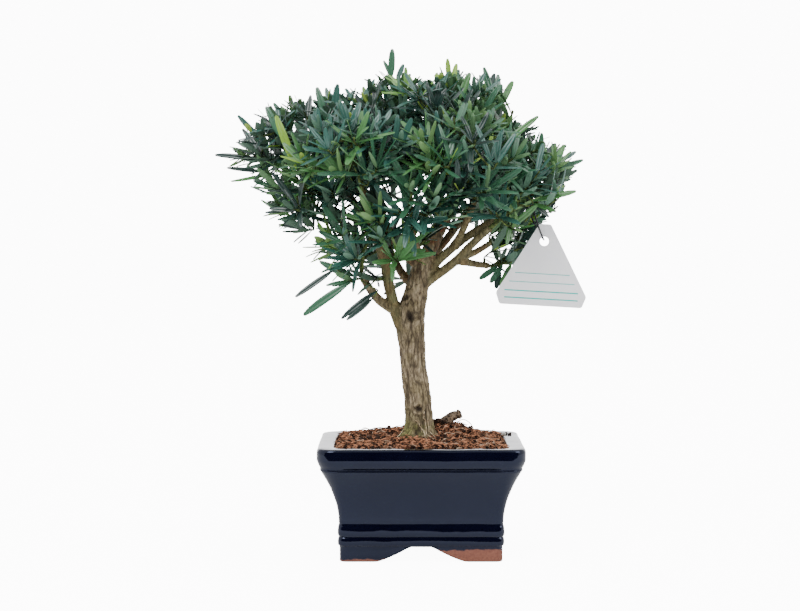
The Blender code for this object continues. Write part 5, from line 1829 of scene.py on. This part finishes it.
leafing = leafing_tree()
for shade_name in SHADES:
    chosen = [leaf for leaf in leaves if leaf[5] == shade_name]
    upper_colour, under_colour = (linear(colour) for colour in LEAF_COLOURS[shade_name])
    upper, _, _ = new_material(f"waxy {shade_name} leaf", Base_Color=upper_colour, **LEAF_GLOSS)
    lower, _, _ = new_material(
        f"matt {shade_name} leaf underside", Base_Color=under_colour, Roughness=UNDERSIDE_ROUGHNESS
    )
    source = place_points(f"{shade_name}_places", chosen)
    values = {
        "Leaf shapes": leaf_shapes, "Width factor": 1.0,
        "Upper finish": upper, "Underside finish": lower,
    }
    piece = run_tree(f"leaves_{shade_name}", source, leafing, values)
    bpy.data.objects.remove(source)
    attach(piece, "root")
    print(piece.name + ":", len(chosen), "leaves,", triangles(piece), "triangles")
drop_collection(leaf_shapes)

# %% [markdown]
# The twigs that the growing left behind are lines with a thickness at each point. A second tree of
# nodes turns them into closed round tubes, in the olive green of young wood.

# %% Twigs
TWIG_SIDES = 7


def twig_tree():
    """Skins a net of edges as round twigs of the thickness that each point carries."""
    inputs = {"Lines": "Geometry", "Sides": "Int", "Finish": "Material"}
    tree, given = new_tree("skin twigs", inputs, "Twigs")
    curves = add_node(tree, "GeometryNodeMeshToCurve", None, {"Mesh": (given, "Lines")})
    thickness = add_node(tree, "GeometryNodeInputNamedAttribute", {"Name": "thickness"}, data_type="FLOAT")
    thick = add_node(
        tree, "GeometryNodeSetCurveRadius", None, {"Curve": (curves, 0), "Radius": (thickness, "Attribute")}
    )
    circle = add_node(
        tree, "GeometryNodeCurvePrimitiveCircle", {"Radius": 1.0}, {"Resolution": (given, "Sides")}
    )
    tube_mesh = add_node(
        tree,
        "GeometryNodeCurveToMesh",
        {"Fill Caps": True},
        {"Curve": (thick, 0), "Profile Curve": (circle, 0)},
    )
    if "Scale" in tube_mesh.inputs:
        tree.links.new(thickness.outputs["Attribute"], tube_mesh.inputs["Scale"])
    real = add_node(tree, "GeometryNodeRealizeInstances", None, {"Geometry": (tube_mesh, 0)})
    finished = add_node(
        tree, "GeometryNodeSetMaterial", None, {"Geometry": (real, 0), "Material": (given, "Finish")}
    )
    add_node(tree, "NodeGroupOutput", None, {"Twigs": (finished, 0)})
    return tree


def twig_lines():
    """A net of edges along every twig, with the thickness at each point as an attribute."""
    points, edges, radii = [], [], []
    for twig in twigs:
        first = len(points)
        for place, radius in twig:
            points.append(tuple(place * MM + PLACE))
            radii.append(radius * MM)
        edges += [(first + step, first + step + 1) for step in range(len(twig) - 1)]
    mesh = bpy.data.meshes.new("twig_lines")
    mesh.from_pydata(points, edges, [])
    attribute = mesh.attributes.new("thickness", "FLOAT", "POINT")
    attribute.data.foreach_set("value", radii)
    return put_in_scene("twig_lines", mesh)


twig_finish = make_mix_finish("olive young twig", "#2f3a20", "#5f6e3c", 2.5)
lines = twig_lines()
twig_piece = run_tree("fine_twigs", lines, twig_tree(), {"Sides": TWIG_SIDES, "Finish": twig_finish})
bpy.data.objects.remove(lines)
twig_piece.data.polygons.foreach_set("use_smooth", [True] * len(twig_piece.data.polygons))
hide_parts(*MASSES)
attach(twig_piece, "root")
print("fine_twigs:", triangles(twig_piece), "triangles")

# %% [markdown]
# The tag is a die-cut plate of pale plastic, 0.8 mm thick, with rounded corners and a punched
# hole. Its face has four plain ruled lines to write on, in blue-green ink. It hangs from a loop of
# dark plastic-coated wire. Plastic, ink and coating are all smooth, so what the eye sees is only a
# slow drift in their colour and gloss, a few millimetres across, over a skin that is not quite flat.

# %% Tag
TAG_HOLE_DROP = 12.6
TAG_HOLE_RADIUS = 3.4
TAG_HALF = 0.38
TAG_CORNER = 1.6
HOLE_STEPS = 64


def on_tag(across, drop, y=0.0):
    """A place on the tag, from its own across and drop."""
    x = across * math.cos(TAG_TURN) - drop * math.sin(TAG_TURN)
    z = -across * math.sin(TAG_TURN) - drop * math.cos(TAG_TURN)
    return tuple(TAG_TOP + Vector((x, y, z)))


def rounded_outline(corners, radius, steps=5):
    """The outline with each corner rounded by a short curve."""
    found = []
    count = len(corners)
    for index in range(count):
        before, corner, after = (Vector(corners[(index + shift) % count]) for shift in (-1, 0, 1))
        start = corner + (before - corner).normalized() * radius
        end = corner + (after - corner).normalized() * radius
        for step in range(steps + 1):
            share = step / steps
            found.append((1 - share) ** 2 * start + 2 * share * (1 - share) * corner + share**2 * end)
    return found


def on_outline(outline, angle, middle):
    """Where a ray from the middle meets the outline."""
    ray = Vector((math.cos(angle), math.sin(angle)))
    best = None
    for start, end in zip(outline, outline[1:] + outline[:1]):
        edge = end - start
        cross = ray.x * edge.y - ray.y * edge.x
        if abs(cross) < 1e-9:
            continue
        offset = start - middle
        along = (offset.x * edge.y - offset.y * edge.x) / cross
        share = (offset.x * ray.y - offset.y * ray.x) / cross
        if along > 0 and -0.001 <= share <= 1.001 and (best is None or along > best):
            best = along
    return middle + ray * best


def make_smooth_finish(name, colour, drifted, roughness, size):
    """A smooth finish whose colour and gloss drift a little from place to place."""
    material, tree, shader = new_material(name)
    place = add_node(tree, "ShaderNodeTexCoord")
    drift = add_node(
        tree, "ShaderNodeTexNoise", {"Scale": 1 / (size * MM), "Detail": 4}, {"Vector": (place, "Object")}
    )
    look = add_node(
        tree, "ShaderNodeMix", {6: linear(colour), 7: linear(drifted)}, {0: (drift, "Fac")}, data_type="RGBA"
    )
    ends = {"To Min": roughness[0], "To Max": roughness[1]}
    gloss = add_node(tree, "ShaderNodeMapRange", ends, {"Value": (drift, "Fac")})
    bump = add_node(
        tree, "ShaderNodeBump", {"Strength": 0.2, "Distance": 0.05 * MM}, {"Height": (drift, "Fac")}
    )
    tree.links.new(look.outputs[2], shader.inputs["Base Color"])
    tree.links.new(gloss.outputs["Result"], shader.inputs["Roughness"])
    tree.links.new(bump.outputs["Normal"], shader.inputs["Normal"])
    return material


def make_tag(finish):
    """The plate between its outline and its hole, as four rings of points joined into a solid."""
    outline = rounded_outline(TAG_OUTLINE, TAG_CORNER)
    middle = Vector((0, TAG_HOLE_DROP))
    corners = {round(math.atan2(p.y - middle.y, p.x - middle.x) % math.tau, 6) for p in outline}
    steps = {round(step * math.tau / HOLE_STEPS, 6) for step in range(HOLE_STEPS)}
    angles = sorted(corners | steps)
    rings = []
    for scale, y in ((1.0, -TAG_HALF), (0.0, -TAG_HALF), (0.0, TAG_HALF), (1.0, TAG_HALF)):
        ring = []
        for angle in angles:
            inner = middle + Vector((math.cos(angle), math.sin(angle))) * TAG_HOLE_RADIUS
            outer = on_outline(outline, angle, middle)
            place = inner.lerp(outer, scale)
            ring.append(on_tag(place.x, place.y, y))
        rings.append(ring)
    points = [point for ring in rings for point in ring]
    faces = skin(4, len(angles))
    last = 3 * len(angles)
    for step in range(len(angles)):
        following = (step + 1) % len(angles)
        faces.append((last + step, last + following, following, step))
    return make_piece("hanging_tag", points, [face[::-1] for face in faces], finish, smooth=False)


tag_finish = make_smooth_finish("satin pale plastic", "#ffffff", "#f4f4fb", (0.34, 0.5), 7.0)
tag = make_tag(tag_finish)
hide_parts("tag")
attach(tag, "root")

# %% [markdown]
# A ruled line is a flat bar of ink that stands a few hundredths of a millimetre proud of the tag.
# The tie is a round wire on a closed loop, over the bough and through the tag's hole.

# %% Ink lines and tie
INK_FRONT = 0.06
INK_BACK = 0.005
# half the length of each ruled line, how far down the tag it is, and its thickness
INK_LINES = ((27.0, 49.5, 0.9), (24.0, 43.0, 0.5), (20.0, 36.5, 0.5), (27.0, 54.8, 0.9))
WIRE_RADIUS = 0.62


def ink_bar(start, end, width):
    """A flat bar of ink between two places on the tag's front."""
    run = (Vector(end) - Vector(start)).normalized()
    side = Vector((-run.y, run.x)) * width / 2
    places = [Vector(start) - side, Vector(end) - side, Vector(end) + side, Vector(start) + side]
    front = [on_tag(place.x, place.y, -TAG_HALF - INK_FRONT) for place in places]
    back = [on_tag(place.x, place.y, -TAG_HALF - INK_BACK) for place in places]
    return front + back, [(0, 1, 2, 3), (7, 6, 5, 4), (0, 4, 5, 1), (1, 5, 6, 2), (2, 6, 7, 3), (3, 7, 4, 0)]


def make_ink(finish):
    bars = [ink_bar((-half, drop), (half, drop), width) for half, drop, width in INK_LINES]
    points, faces = joined(bars)
    return make_piece("tag_ink_lines", points, [face[::-1] for face in faces], finish, smooth=False)


ink_finish = make_smooth_finish("blue-green ink", "#08b8ac", "#3cc6be", (0.4, 0.5), 1.5)
ink = make_ink(ink_finish)
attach(ink, "root")

TIE_LOOP = (
    (79.4, -12.4, 268.3), (81.0, -17.0, 264.9), (82.6, -20.4, 255.5), (85.4, -24.8, 244.5),
    (88.4, -26.6, 236.5), (89.8, -24.0, 234.1), (88.2, -21.2, 236.5), (83.6, -15.5, 245.5),
    (79.6, -9.4, 255.5), (78.4, -7.6, 263.5),
)
wire_finish = make_smooth_finish("dark plastic-coated wire", "#242428", "#34343a", (0.34, 0.46), 2.0)
loop = smooth_line([(*point, WIRE_RADIUS) for point in TIE_LOOP], 6, closed=True)
tie_points, tie_faces = tube(loop, 10, closed=True)
tie = make_piece("wire_tie", tie_points, tie_faces, wire_finish)
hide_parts("tag_tie")
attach(tie, "root")
print("hanging_tag and wire_tie:", triangles(tag) + triangles(tie), "triangles")

# %% [markdown]
# Last, the box of the imported solids is printed. The finished surfaces may not change the
# object's size.

# %% Sizes, and the end
print("box of the solids:", [[round(v, 4) for v in corner] for corner in cad_box])
